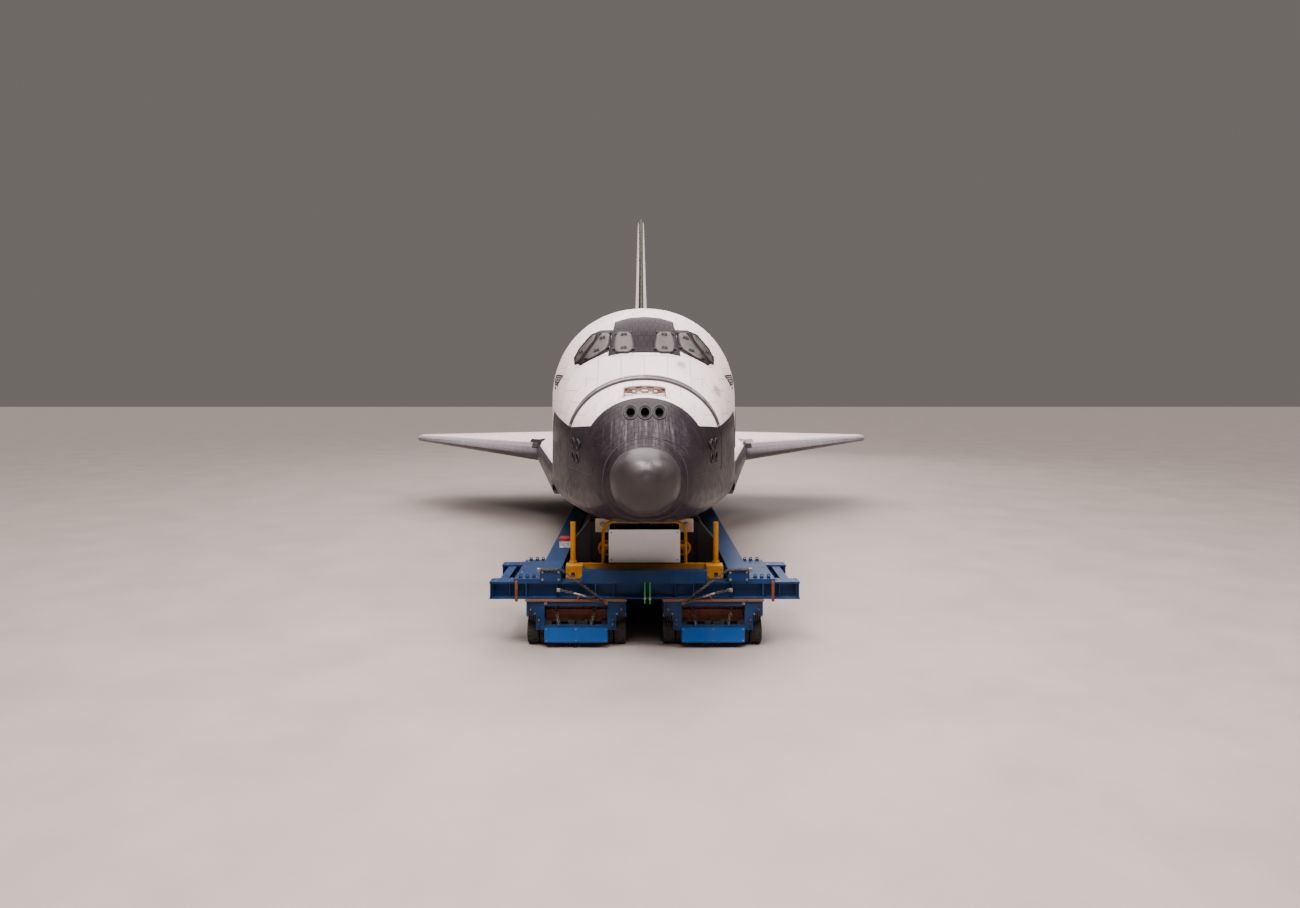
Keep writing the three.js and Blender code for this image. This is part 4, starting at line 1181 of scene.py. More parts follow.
# Window surround and covers as x and z seen from the front. Each cover has an outline, the
# places of its vents and those of its latches.
SURROUND = ((0, 8.31), (0.4, 8.28), (0.79, 8.17), (0.955, 7.215), (0.5, 7.3), (0, 7.31))
SIDE_FRAME = ((0.85, 7.93), (1.17, 7.93), (1.45, 7.83), (1.77, 7.44), (1.9, 7.18), (1.87, 7.0),
              (1.78, 7.03), (1.7, 6.97), (1.5, 7.08), (0.94, 7.34))
COVERS = (
    (((0.345, 7.88), (0.7, 7.89), (0.775, 7.76), (0.82, 7.47), (0.775, 7.33), (0.7, 7.295),
      (0.42, 7.295), (0.285, 7.38), (0.27, 7.5)),
     ((0.535, 7.79), (0.535, 7.42)), ((0.36, 7.85), (0.75, 7.81), (0.285, 7.4), (0.81, 7.4))),
    (((0.9, 7.87), (1.14, 7.87), (1.235, 7.7), (1.575, 7.2), (1.55, 7.11), (1.39, 7.15),
      (1.0, 7.39), (0.93, 7.53)),
     ((1.11, 7.7), (1.25, 7.36)), ((0.92, 7.84), (1.17, 7.83), (1.56, 7.16), (0.965, 7.44))),
    (((1.285, 7.86), (1.42, 7.77), (1.73, 7.43), (1.85, 7.17), (1.815, 7.03), (1.69, 7.2),
      (1.34, 7.66)),
     ((1.69, 7.32),), ((1.34, 7.82), (1.41, 7.76), (1.82, 7.06))),
)
COVER_RISE = 0.082


def chamfered(outline, cut):
    """The outline with its corners cut off."""
    made = []
    for i, spot in enumerate(outline):
        spot = Vector(spot)
        for other in (outline[i - 1], outline[(i + 1) % len(outline)]):
            way = Vector(other) - spot
            made.append(spot + way.normalized() * min(cut, way.length * 0.4))
    return made


def shrunk(outline, width):
    """The outline drawn in by a width on every side, about its middle."""
    middle = sum(outline, Vector((0, 0))) / len(outline)
    return [middle + way * max(0.2, 1 - width * 1.5 / way.length)
            for way in [spot - middle for spot in outline]]


def slice_across(spot, way):
    """Steps that cut everything by a plane."""
    return [lambda: bpy.ops.mesh.select_all(action="SELECT"),
            lambda: bpy.ops.mesh.bisect(plane_co=spot, plane_no=way)]


def patch(outline, rise, thickness, finish, pitch=0.1):
    """A plate with an outline seen from the front, bent over the upper body."""
    deselect()
    bpy.ops.mesh.primitive_circle_add(vertices=len(outline), radius=1, fill_type="NGON",
                                      rotation=(math.radians(90), 0, 0))
    plate = settle(bpy.context.object)
    for corner, (x, z) in zip(plate.data.vertices, outline):
        corner.co = (x, 0, z)
    cuts = []
    for axis, values in ((0, [x for x, _ in outline]), (2, [z for _, z in outline])):
        low, high = min(values), max(values)
        count = int((high - low) / pitch)
        for i in range(1, count + 1):
            spot, way = [0, 0, 0], [0, 0, 0]
            spot[axis], way[axis] = low + (high - low) * i / (count + 1), 1
            cuts += slice_across(spot, way)
    edit(plate, everything, *cuts)
    for corner in plate.data.vertices:
        corner.co = crown(corner.co.x, corner.co.z, rise)
    outward(plate)
    if sum(face.normal.y * face.area for face in plate.data.polygons) > 0:
        plate.data.flip_normals()
    modify(plate, "SOLIDIFY", thickness=thickness, offset=-1)
    return paint(soften(plate, 0.006, 2, 40), finish)


class ORBITER_OT_windows(bpy.types.Operator):
    """Covers the windshield: black surround, six grey plates with rims, vents and latches"""

    bl_idname = "orbiter.windows"
    bl_label = "Window covers"

    def execute(self, context):
        rim = context.scene.orbiter_fittings.cover_rim
        arch = [*SURROUND, *[(-x, z) for x, z in reversed(SURROUND[1:-1])]]
        fit([patch(arch, 0.03, 0.05, "tile"), *mirrored([patch(SIDE_FRAME, 0.028, 0.05, "tile")])],
            "window_surround", "black_tile", "root", "windshield")
        parts = [part for cover in COVERS for part in self.cover(rim, *cover)]
        fit(mirrored(parts), "window_covers", "window_cover")
        return {"FINISHED"}

    def cover(self, rim, outline, vents, latches):
        """A plate on its rim, with twin vents and latches."""
        corners = chamfered(outline, 0.03)
        parts = [patch(corners, 0.062, 0.06, "rim"),
                 patch(shrunk(corners, rim), COVER_RISE, 0.06, "cover")]
        for x, z in vents:
            boss = [slab((-0.09, -0.042, -0.01), (0.09, 0.042, 0.01), "cover", 0.006)]
            boss += [slab((x0, -0.034, 0.0), (x0 + 0.068, 0.034, 0.026), "rim", 0.004,
                          inset(0.009, -0.014), face=TOP) for x0 in (-0.074, 0.006)]
            parts.append(move(merged(boss), crown_matrix(x, z, COVER_RISE)))
        for x, z in latches:
            latch = slab((-0.036, -0.03, -0.06), (0.036, 0.03, 0.02), "rim", 0.01)
            parts.append(move(latch, crown_matrix(x, z, 0.07)))
        return parts


BAY_MIDDLE_Z = 6.17
DOOR_MIDDLE_Z = 6.04
BAY_RIB_PITCH = 1.34


def bay_point(radius, degrees, station, middle_z):
    """A point round the bay's axis."""
    angle = math.radians(degrees)
    return at(radius * math.cos(angle), station, middle_z + radius * math.sin(angle))


def arc_panel(inner, outer, fore, aft, start, end, steps, middle_z=DOOR_MIDDLE_Z):
    """A curved panel round the bay's axis, from one angle to another, in degrees."""
    panel = block(at(inner, fore, -0.005), at(outer, aft, 0.005))
    first = math.radians(start)
    move(panel, Matrix.Rotation(-first, 4, "Y"))
    move(panel, (0, 0, middle_z))
    edit(panel, facing(-math.sin(first), 0, math.cos(first)),
         lambda: bpy.ops.mesh.spin(steps=steps, angle=first - math.radians(end),
                                   center=(0, 0, middle_z), axis=(0, 1, 0)))
    return smooth(outward(panel), 30)


class ORBITER_OT_payload_bay(bpy.types.Operator):
    """Fits the door radiators, the bay's ribs and liner and the doors' outer seams"""

    bl_idname = "orbiter.payload_bay"
    bl_label = "Payload bay"

    def execute(self, context):
        for name, parts, slot in (("door_radiators", self.radiators(), "nozzle_metal"),
                                  ("door_seams", self.seams(), "white_blanket")):
            for side, piece in zip(SIDES, mirrored(parts)):
                fit([piece], f"{name}_{side}", slot, f"payload_door_{side}")
        fit(self.frames(), "bay_frames", "nozzle_metal")
        fit([paint(arc_panel(2.268, 2.286, station, station + 1.16, -174, -6, 24, BAY_MIDDLE_Z),
                   "liner")
             for station in [CABIN_END + 0.62 + i * BAY_RIB_PITCH for i in range(13)]],
            "bay_liner", "white_blanket")
        return {"FINISHED"}

    def radiators(self):
        """Four curved panels inside a door, each with three pipes."""
        pitch = (BAY_END - CABIN_END) / 4
        parts = []
        for fore in [CABIN_END + i * pitch + 0.12 for i in range(4)]:
            panel = arc_panel(2.445, 2.495, fore, fore + pitch - 0.24, 14, 82, 10)
            parts.append(paint(soften(panel, 0.01, 1, 50), "radiator"))
            for angle in (24, 48, 72):
                ends = [bay_point(2.425, angle, station, DOOR_MIDDLE_Z)
                        for station in (fore + 0.1, fore + pitch - 0.34)]
                parts.append(pipe(ends, 0.014, "steel", 6))
        return parts

    def seams(self):
        """The seams across and along the outside of a door."""
        parts = []
        for i in range(9):
            station = CABIN_END + 0.04 + (BAY_END - CABIN_END - 0.08) * i / 8
            run = [arch_point(station, math.radians(12.5 + 77 * k / 16)) for k in range(17)]
            parts.append(pipe(run, 0.014 if i % 2 else 0.022, "seal", 6))
        for angle in (13, 40, 62, 88.6):
            run = [arch_point(CABIN_END + 0.05 + (BAY_END - CABIN_END - 0.1) * k / 8,
                              math.radians(angle)) for k in range(9)]
            parts.append(pipe(run, 0.012, "seal", 6))
        return parts

    def frames(self):
        """The bay's ribs, stringers and sills."""
        ends = CABIN_END + 0.2, BAY_END - 0.2
        parts = [paint(arc_panel(2.2, 2.3, station, station + 0.06, -172, -8, 20, BAY_MIDDLE_Z),
                       "steel")
                 for station in [CABIN_END + 0.5 + i * BAY_RIB_PITCH for i in range(14)]]
        parts += [pipe([bay_point(2.24, angle, end, BAY_MIDDLE_Z) for end in ends], 0.03,
                       "steel") for angle in (-30, -60, -90, -120, -150)]
        parts += [slab(at(x - 0.07, ends[0], 6.42), at(x + 0.07, ends[1], 6.54), "steel", 0.015)
                  for x in (-2.16, 2.16)]
        return parts


HATCH_SLOPE = 0.09


class ORBITER_OT_hatch(bpy.types.Operator):
    """Rings the side hatch and gives it a window, a handle and hinge covers"""

    bl_idname = "orbiter.hatch"
    bl_label = "Side hatch"

    def execute(self, context):
        low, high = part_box("side_hatch")
        middle = (low + high) / 2
        station = middle.y - NOSE_Y
        face = Matrix.Translation((section(station)[3], middle.y, middle.z))
        lean = Matrix.Rotation(-math.atan(HATCH_SLOPE), 4, "Z")

        def ring(radius, wire, finish):
            spots = []
            for i in range(32):
                angle = math.tau * i / 32
                s = station + radius * math.cos(angle)
                spots.append(at(section(s)[3], s, middle.z + radius * math.sin(angle)))
            return pipe(spots, wire, finish, 8, True)

        pane = bar((-0.02, 0, 0), (0.012, 0, 0), 0.16, "cavity", 0, inset(0.03, -0.012),
                   sides=28, face=facing(1, 0, 0))
        parts = [ring(0.47, 0.012, "seal"), ring(0.18, 0.022, "rim"), ring(0.33, 0.006, "seal"),
                 soften(move(pane, face @ lean), 0.004)]
        for z, wide in ((-0.36, 0.16), (0.36, 0.1)):
            plate = slab((-0.02, -wide, -0.03), (0.014, wide, 0.03), "cover", 0.008)
            parts.append(move(plate, Matrix.Translation((0, 0, z)) @ face @ lean))
        fit(parts, "hatch_fittings", "black_tile", "side_hatch")
        fit([ring(0.535, 0.02, "tile")], "hatch_surround", "black_tile")
        return {"FINISHED"}


# Engines and pod nozzles: node, point on the base, tilt up and cant outwards in degrees, length,
# number of bands and thickness of their wire
NOZZLES = (
    ("main_engine_top", (0.0, 32.3, 7.7), 15.5, 0.0, 2.35, 9, 0.028),
    ("main_engine_left", (1.37, 32.3, 4.89), 10.0, 3.5, 2.9, 9, 0.028),
    ("main_engine_right", (-1.37, 32.3, 4.89), 10.0, -3.5, 2.9, 9, 0.028),
    ("pod_nozzle_left", (2.24, 33.7, 8.48), 12.0, 6.0, 1.25, 5, 0.014),
    ("pod_nozzle_right", (-2.24, 33.7, 8.48), 12.0, -6.0, 1.25, 5, 0.014),
)


def bell_profile(obj, foot, axis):
    """The bell's outer radius at distances along its axis, from its mesh."""
    rows = {}
    for corner in obj.data.vertices:
        away = corner.co - foot
        t = away.dot(axis)
        key = round(t, 2)
        rows[key] = max(rows.get(key, 0.0), (away - axis * t).length)
    return sorted(rows.items())


def radius_on(profile, t):
    for (t0, r0), (t1, r1) in zip(profile, profile[1:]):
        if t0 <= t <= t1:
            return r0 + (r1 - r0) * (t - t0) / max(t1 - t0, 1e-6)
    return profile[-1][1]


class ORBITER_OT_engines(bpy.types.Operator):
    """Finishes the three main engines and the pods' nozzles, with bands, pipes and soot"""

    bl_idname = "orbiter.engines"
    bl_label = "Engines"

    def execute(self, context):
        for node, base, tilt, cant, length, bands, wire in NOZZLES:
            foot, up, out = at(*base), math.radians(tilt), math.radians(cant)
            axis = Vector((math.sin(out) * math.cos(up), math.cos(out) * math.cos(up),
                           math.sin(up)))
            bell = smooth_copy(node, "bell", 40)
            profile = bell_profile(bell, foot, axis)
            self.soot(bell, foot, axis, length)
            far = profile[-1][0]
            parts = [bell]
            for i in range(bands):
                t = far * (0.42 + 0.56 * i / (bands - 1))
                parts.append(loop(foot + axis * t, axis, radius_on(profile, t) + wire * 0.2,
                                  wire, "bell", 40, 6))
            parts += self.pipes(foot, axis, profile, wire)
            fit(parts, f"{node}_dressed", "nozzle_metal", "root", node)
        return {"FINISHED"}

    def soot(self, bell, foot, axis, length):
        """Paints the bell's inner wall in its own finish."""
        bell.data.materials.append(FINISH["bell inside"])
        for face in bell.data.polygons:
            away = face.center - foot
            t = away.dot(axis)
            if face.normal.dot(away - axis * t) < 0 and t > 0.2 * length:
                face.material_index = 1

    def pipes(self, foot, axis, profile, wire):
        """Three pipes along the outside of the bell."""
        across_way = axis.cross(Vector((0, 0, 1))).normalized()
        up_way = across_way.cross(axis)
        parts = []
        for i in range(3):
            turn = math.tau * (i / 3 + 0.12)
            way = across_way * math.cos(turn) + up_way * math.sin(turn)
            run = [foot + axis * t + way * (radius_on(profile, t) + wire)
                   for t in [profile[-1][0] * share for share in (0.3, 0.42, 0.6, 0.8, 0.97)]]
            parts.append(pipe(run, wire * 0.8, "steel", 6))
        return parts


# Place and way of each small jet on the port pod
POD_JETS = (
    *[((3.33, station, 8.3), (1, 0, 0)) for station in (32.75, 33.15, 33.55, 33.95)],
    *[((2.85, station, 8.6), (0, 0, 1)) for station in (32.9, 33.3, 33.7)],
    *[((2.9, station, 7.56), (0, 0, -1)) for station in (32.9, 33.3, 33.7)],
    ((2.82, 34.05, 8.2), (0, 1, 0)), ((3.12, 34.05, 8.2), (0, 1, 0)),
)


class ORBITER_OT_tail_fittings(bpy.types.Operator):
    """Fits the small jets of both pods"""

    bl_idname = "orbiter.tail_fittings"
    bl_label = "Tail fittings"

    def execute(self, context):
        jets = []
        for spot, way in POD_JETS:
            mouth, way = at(*spot), Vector(way)
            jets.append(bar(mouth - way * 0.06, mouth + way * 0.02, 0.085, "bell inside", 0.004,
                            inset(0.014), extrude(way * -0.07), shrink(0.55), sides=18,
                            face=facing(*way)))
            jets.append(loop(mouth + way * 0.012, way, 0.085, 0.012, "rim", 20, 6))
        for side, piece in zip(SIDES, mirrored(jets)):
            fit([piece], f"pod_jets_{side}", "nozzle_metal")
        return {"FINISHED"}


# The transporter's wheeled units: middle x, station of the panelled end, way towards the other end
UNIT_X = 1.68
UNITS = (("front_left", UNIT_X, 3.06, 1), ("front_right", -UNIT_X, 3.06, 1),
         ("rear_left", UNIT_X, 29.3, -1), ("rear_right", -UNIT_X, 29.3, -1))
UNIT_HALF = 1.215
AXLES = (0.5, 1.9, 3.3, 4.7)
AXLE_RADIUS, AXLE_HALF = 0.0592, 1.19
WHEEL_RADIUS, WHEEL_WIDTH, RIM_RADIUS = 0.36, 0.29, 0.228
WHEEL_X = (-1.07, -0.755, 0.755, 1.07)
CROSS_FRONTS = (3.05, 4.95, 24.5, 27.8)
CROSS_WIDTH, BEAM_BOTTOM, BEAM_TOP, DECK_TOP = 0.4, 1.21, 1.63, 1.7
# Places of the stiffeners and bolts on the cross beams
STIFFENER_X, STIFFENER_Y = (0.75, 1.45, 2.15, 2.9, 3.3, 3.72), (0.004, 0.215)
LOW_BOLT_X, TOP_BOLT_X, BOLT_Y = (0.9, 2.7, 3.1, 3.5), (3.3, 3.65), (0.06, 0.34)
# The x and the stations of the bolts, eyes and webs on a long beam
DECK_BOLTS = ((2.66, 3.1), (3.25, 3.8, 4.4, 5.1))
DECK_EYES = ((2.72, 2.88, 3.05), (3.16, 5.18))
LONG_WEBS = ((2.02, 2.58), (3.6, 5.9, 9.0, 14.0, 19.0, 22.5, 25.8, 28.4))
# How far the rear pair of outer ties lies behind the front pair
REAR_TIES = 21.2
BOARD_BOLT = 0.07


def bolts(spots, radius, way=(0, 0, 1)):
    """Hexagon heads on washers at the given places."""
    way = Vector(way)
    head = bar((0, 0, 0), way * radius * 0.9, radius, "steel", radius * 0.12, sides=6,
               segments=1)
    washer = bar((0, 0, 0), way * radius * 0.25, radius * 1.45, "steel", radius * 0.08, sides=12,
                 segments=1)
    return spread(merged([head, washer]), spots)


class ORBITER_OT_beams(bpy.types.Operator):
    """Bolts, stiffeners, clamps, lifting eyes and the outer ties of the blue beams"""

    bl_idname = "orbiter.beams"
    bl_label = "Beam fittings"

    def execute(self, context):
        radius = context.scene.orbiter_fittings.bolt_radius
        fit(self.cross_beams(radius), "cross_beam_fittings", "blue_paint")
        fit(mirrored(self.long_beam(radius)), "long_beam_fittings", "blue_paint")
        fit(mirrored(self.ties()), "outer_ties", "blue_paint")
        return {"FINISHED"}

    def cross_beams(self, radius):
        """Stiffeners and flange bolts of the four cross beams."""
        parts = []
        for front in CROSS_FRONTS:
            parts += mirrored([slab(at(x - 0.008, front + y, BEAM_BOTTOM + 0.03),
                                    at(x + 0.008, front + y + 0.181, BEAM_TOP - 0.03), "blue",
                                    0.004, segments=1)
                               for x in STIFFENER_X for y in STIFFENER_Y])
            for row, z in ((LOW_BOLT_X, BEAM_BOTTOM + 0.022), (TOP_BOLT_X, BEAM_TOP)):
                parts.append(bolts([at(side * x, front + s, z) for s in BOLT_Y
                                    for side in (1, -1) for x in row], radius))
        return parts

    def long_beam(self, radius):
        """Deck bolts, lifting eyes, stiffeners and the end plate of a long beam."""
        parts = [bolts([at(x, s, DECK_TOP) for x in DECK_BOLTS[0] for s in DECK_BOLTS[1]],
                       radius)]
        eye = merged([slab((-0.045, -0.012, 0), (0.045, 0.012, 0.05), "blue", 0.004),
                      loop((0, 0, 0.06), (0, 1, 0), 0.032, 0.011, "blue", 14, 6)])
        parts.append(spread(eye, [at(x, s, DECK_TOP) for s in DECK_EYES[1]
                                  for x in DECK_EYES[0]]))
        (near, far), stations = LONG_WEBS
        parts += [slab(at(near, s, 1.66), at(far, s + 0.02, 1.9), "blue", 0.005)
                  for s in stations]
        parts.append(slab(at(2.04, 3.028, 1.635), at(2.56, 3.05, 1.925), "blue", 0.006))
        parts.append(bolts([at(x, 3.028, z) for x in (2.1, 2.5) for z in (1.69, 1.87)], radius,
                           (0, -1, 0)))
        return parts

    def ties(self):
        """The outer ties of the cross beams, and a clamp with its hook."""
        tie = block(at(3.4, 3.45, 1.33), at(3.62, 4.95, 1.6))
        edit(tie, across(0), inset(0.035, -0.07))
        edit(tie, across(2), inset(0.02, -0.006))
        tie = paint(soften(tie, 0.006), "blue")
        clamp = slab(at(3.1, 3.0, 1.16), at(3.17, 3.05, 1.66), "rust", 0.006,
                     inset(0.014, 0.012))
        hook = pipe([at(3.135, s, z) for s, z in ((3.04, 1.66), (3.2, 1.665), (3.3, 1.66))],
                    0.016, "rust")
        return [tie, twin(tie, (0, REAR_TIES, 0)), clamp, hook]


class ORBITER_OT_front_frame(bpy.types.Operator):
    """Dresses the tower, the pads, the yellow access frame and the blank board"""

    bl_idname = "orbiter.front_frame"
    bl_label = "Tower and access frame"

    def execute(self, context):
        radius = context.scene.orbiter_fittings.bolt_radius
        fit(mirrored(self.tower()), "tower_fittings", "navy_paint")
        fit(mirrored(self.access(radius)), "access_frame_fittings", "yellow_paint")
        fit(self.board(), "board_trim", "board_face")
        fit(self.case(), "service_case", "board_face")
        return {"FINISHED"}

    def tower(self):
        """A beige pad with its bolt, and the stiffeners of the tower."""
        parts = [slab(at(0.885, 3.885, 2.7), at(1.25, 4.31, 3.045), "beige", 0.012,
                      inset(0.03, -0.012)), bolts([at(1.07, 3.893, 2.9)], 0.045, (0, -1, 0))]
        return parts + [slab(at(x, 3.9, 1.82), at(x + 0.02, 3.955, high), "navy", 0.004)
                        for x, high in ((0.45, 2.35), (0.85, 2.4), (1.35, 2.8))]

    def access(self, radius):
        """A foot of the yellow frame with its collars, and a hand wheel with three spokes."""
        wheel = at(0.98, 3.79, 2.32)
        back = Vector((0, 0.02, 0))
        parts = [slab(at(1.53, 3.295, 1.64), at(1.95, 3.33, 1.96), "yellow", 0.008,
                      inset(0.025, -0.008)),
                 slab(at(1.53, 3.295, 1.95), at(1.95, 3.7, 1.965), "yellow", 0.005),
                 bar(at(1.77, 3.28, 1.76), at(1.77, 3.31, 1.76), 0.05, "rim", 0.004,
                     inset(0.016, -0.02), sides=20),
                 bolts([at(x, 3.303, z) for x in (1.58, 1.9) for z in (1.69, 1.9)], radius * 0.9,
                       (0, -1, 0)),
                 bar(at(1.8, 3.7, 1.95), at(1.8, 3.7, 2.01), 0.095, "yellow", 0.008, sides=20),
                 bar(at(1.8, 3.7, 2.97), at(1.8, 3.7, 2.992), 0.072, "yellow", 0.008, sides=20),
                 loop(wheel, (0, 1, 0), 0.17, 0.03, "yellow", 28, 10),
                 bar(wheel - back, wheel + back, 0.06, "yellow", 0.008, sides=20)]
        return parts + [pipe([wheel, wheel + Vector((math.cos(a), 0, math.sin(a))) * 0.17], 0.014,
                             "yellow") for a in (0.5, 2.6, 4.7)]

    def board(self):
        """The edge and the four bolts of the blank board."""
        low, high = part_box("notice_board")
        edge = [(x, low.y + 0.01, z) for x, z in ((low.x, low.z), (high.x, low.z),
                                                  (high.x, high.z), (low.x, high.z))]
        corners = [(x, low.y, z) for x in (low.x + BOARD_BOLT, high.x - BOARD_BOLT)
                   for z in (low.z + BOARD_BOLT, high.z - BOARD_BOLT)]
        return [pipe(edge, 0.012, "steel", 8, True), bolts(corners, 0.014, (0, -1, 0))]

    def case(self):
        """The small case on the starboard beam: white body, red lid and a wire grip."""
        foot = at(-2.34, 5.75, 1.93)
        grip = ((0.1, -0.01, 0.12), (0.1, -0.04, 0.12), (0.24, -0.04, 0.12), (0.24, -0.01, 0.12))
        return [slab(foot, foot + Vector((0.34, 0.3, 0.2)), "white", 0.012, inset(0.03, -0.012)),
                slab(foot + Vector((-0.01, -0.01, 0.2)), foot + Vector((0.35, 0.31, 0.27)), "red",
                     0.012, inset(0.03, 0.012), face=TOP),
                pipe([foot + Vector(spot) for spot in grip], 0.009, "steel", 6)]


def chain(start, end, wire):
    """Steel links that lie tight from one point to another."""
    start, end = Vector(start), Vector(end)
    way = end - start
    count = max(2, round(way.length / (wire * 6)))
    link = move(loop((0, 0, 0), (0, 0, 1), wire * 3, wire, "bell", 12, 6),
                Matrix.Diagonal((1.5, 1, 1, 1)))
    link.data.shade_smooth()
    turn = way.to_track_quat("X", "Z").to_matrix().to_4x4()
    return spread(link, [Matrix.Translation(start + way * (i + 0.5) / count) @ turn
                         @ Matrix.Rotation(math.radians(90 * (i % 2)), 4, "X")
                         for i in range(count)])


class ORBITER_OT_wheels(bpy.types.Operator):
    """Gives each of the sixteen axle lines four grooved tyres on dished rims and its axle"""

    bl_idname = "orbiter.wheels"
    bl_label = "Wheels"

    def execute(self, context):
        wheel = self.wheel(context.scene.orbiter_fittings.tread_depth)
        turns = [math.tau * i / 8 for i in range(8)]
        studs = bolts([(0.086, 0.158 * math.cos(a), 0.158 * math.sin(a)) for a in turns], 0.015,
                      (1, 0, 0))
        outer = merged([twin(wheel, (0, 0, 0)), studs])
        line = [bar((-AXLE_HALF, 0, 0), (AXLE_HALF, 0, 0), AXLE_RADIUS, "steel", 0.004, sides=24,
                    segments=1)]
        for x in WHEEL_X:
            flip = MIRROR if x < 0 else Matrix.Identity(4)
            line.append(twin(outer if abs(x) > 0.9 else wheel,
                             Matrix.Translation((x, 0, 0)) @ flip))
        line += [bar((x - 0.03, 0, 0), (x + 0.03, 0, 0), 0.1, "navy", 0.006, sides=24)
                 for x in (-0.585, 0.585)]
        line = merged(line)
        for unit, x, station, way in UNITS:
            for n, axle in enumerate(AXLES, 1):
                name = f"axle_line_{unit}_{n}"
                fit([twin(line, at(x, station + way * axle, WHEEL_RADIUS))],
                    f"wheels_{unit}_{n}", "tyre", name, name)
        for part in (wheel, outer, line):
            bpy.data.objects.remove(part)
        return {"FINISHED"}

    def wheel(self, depth):
        """A wheel round the X axis: crowned tread, three grooves, shoulder lugs, rim and hub."""
        half, sides = WHEEL_WIDTH / 2 - 0.018, 48
        wheel = drum((-half, 0, 0), (half, 0, 0), WHEEL_RADIUS, sides)
        edit(wheel, across(0), *[inset(*step) for step in (
            (0.03, 0.018), (0.1, 0.0), (0.014, -0.02), (0.022, -0.042), (0.06, 0.004),
            (0.012, 0.045), (0.045, 0.006), (0.012, 0.02))])
        edit(wheel, everything, *[step for x in (-0.055, -0.043, -0.006, 0.006, 0.043, 0.055)
                                  for step in slice_across((x, 0, 0), (1, 0, 0))])

        def on_tread(centre, normal):
            return (math.hypot(centre.y, centre.z) > WHEEL_RADIUS - 0.01
                    and abs(normal.x) < 0.1)

        for middle in (-0.049, 0.0, 0.049):
            edit(wheel, lambda centre, normal:
                 on_tread(centre, normal) and abs(centre.x - middle) < 0.004,
                 inset(0.002, -depth))

        def on_lug(centre, normal):
            step = math.floor(math.atan2(centre.z, centre.y) * sides / math.tau)
            return on_tread(centre, normal) and abs(centre.x) > 0.06 and step % 2 == 0

        edit(wheel, on_lug, lambda: bpy.ops.mesh.inset(
            thickness=0.007, depth=-depth, use_even_offset=True, use_individual=True))
        paint(soften(wheel, 0.003, 1, 50), "tyre")
        wheel.data.materials.append(FINISH["cover"])
        for face in wheel.data.polygons:
            face.material_index = int(math.hypot(face.center.y, face.center.z) < RIM_RADIUS)
        return wheel


# Along a wheeled unit, from its panelled end
PLATE_STARTS = (0.28, 1.68, 3.08, 4.48)
RING_PLACES = (0.8, 1.6, 2.6, 3.4, 4.1, 5.2)
# The x, width and height of the lumps in the recess behind the end panel
RECESS_LUMPS = ((-0.12, 0.16, 0.15), (0.1, 0.2, 0.12), (0.24, 0.08, 0.18))
RECESS_RODS = (-0.26, -0.16, -0.02, 0.1, 0.2)


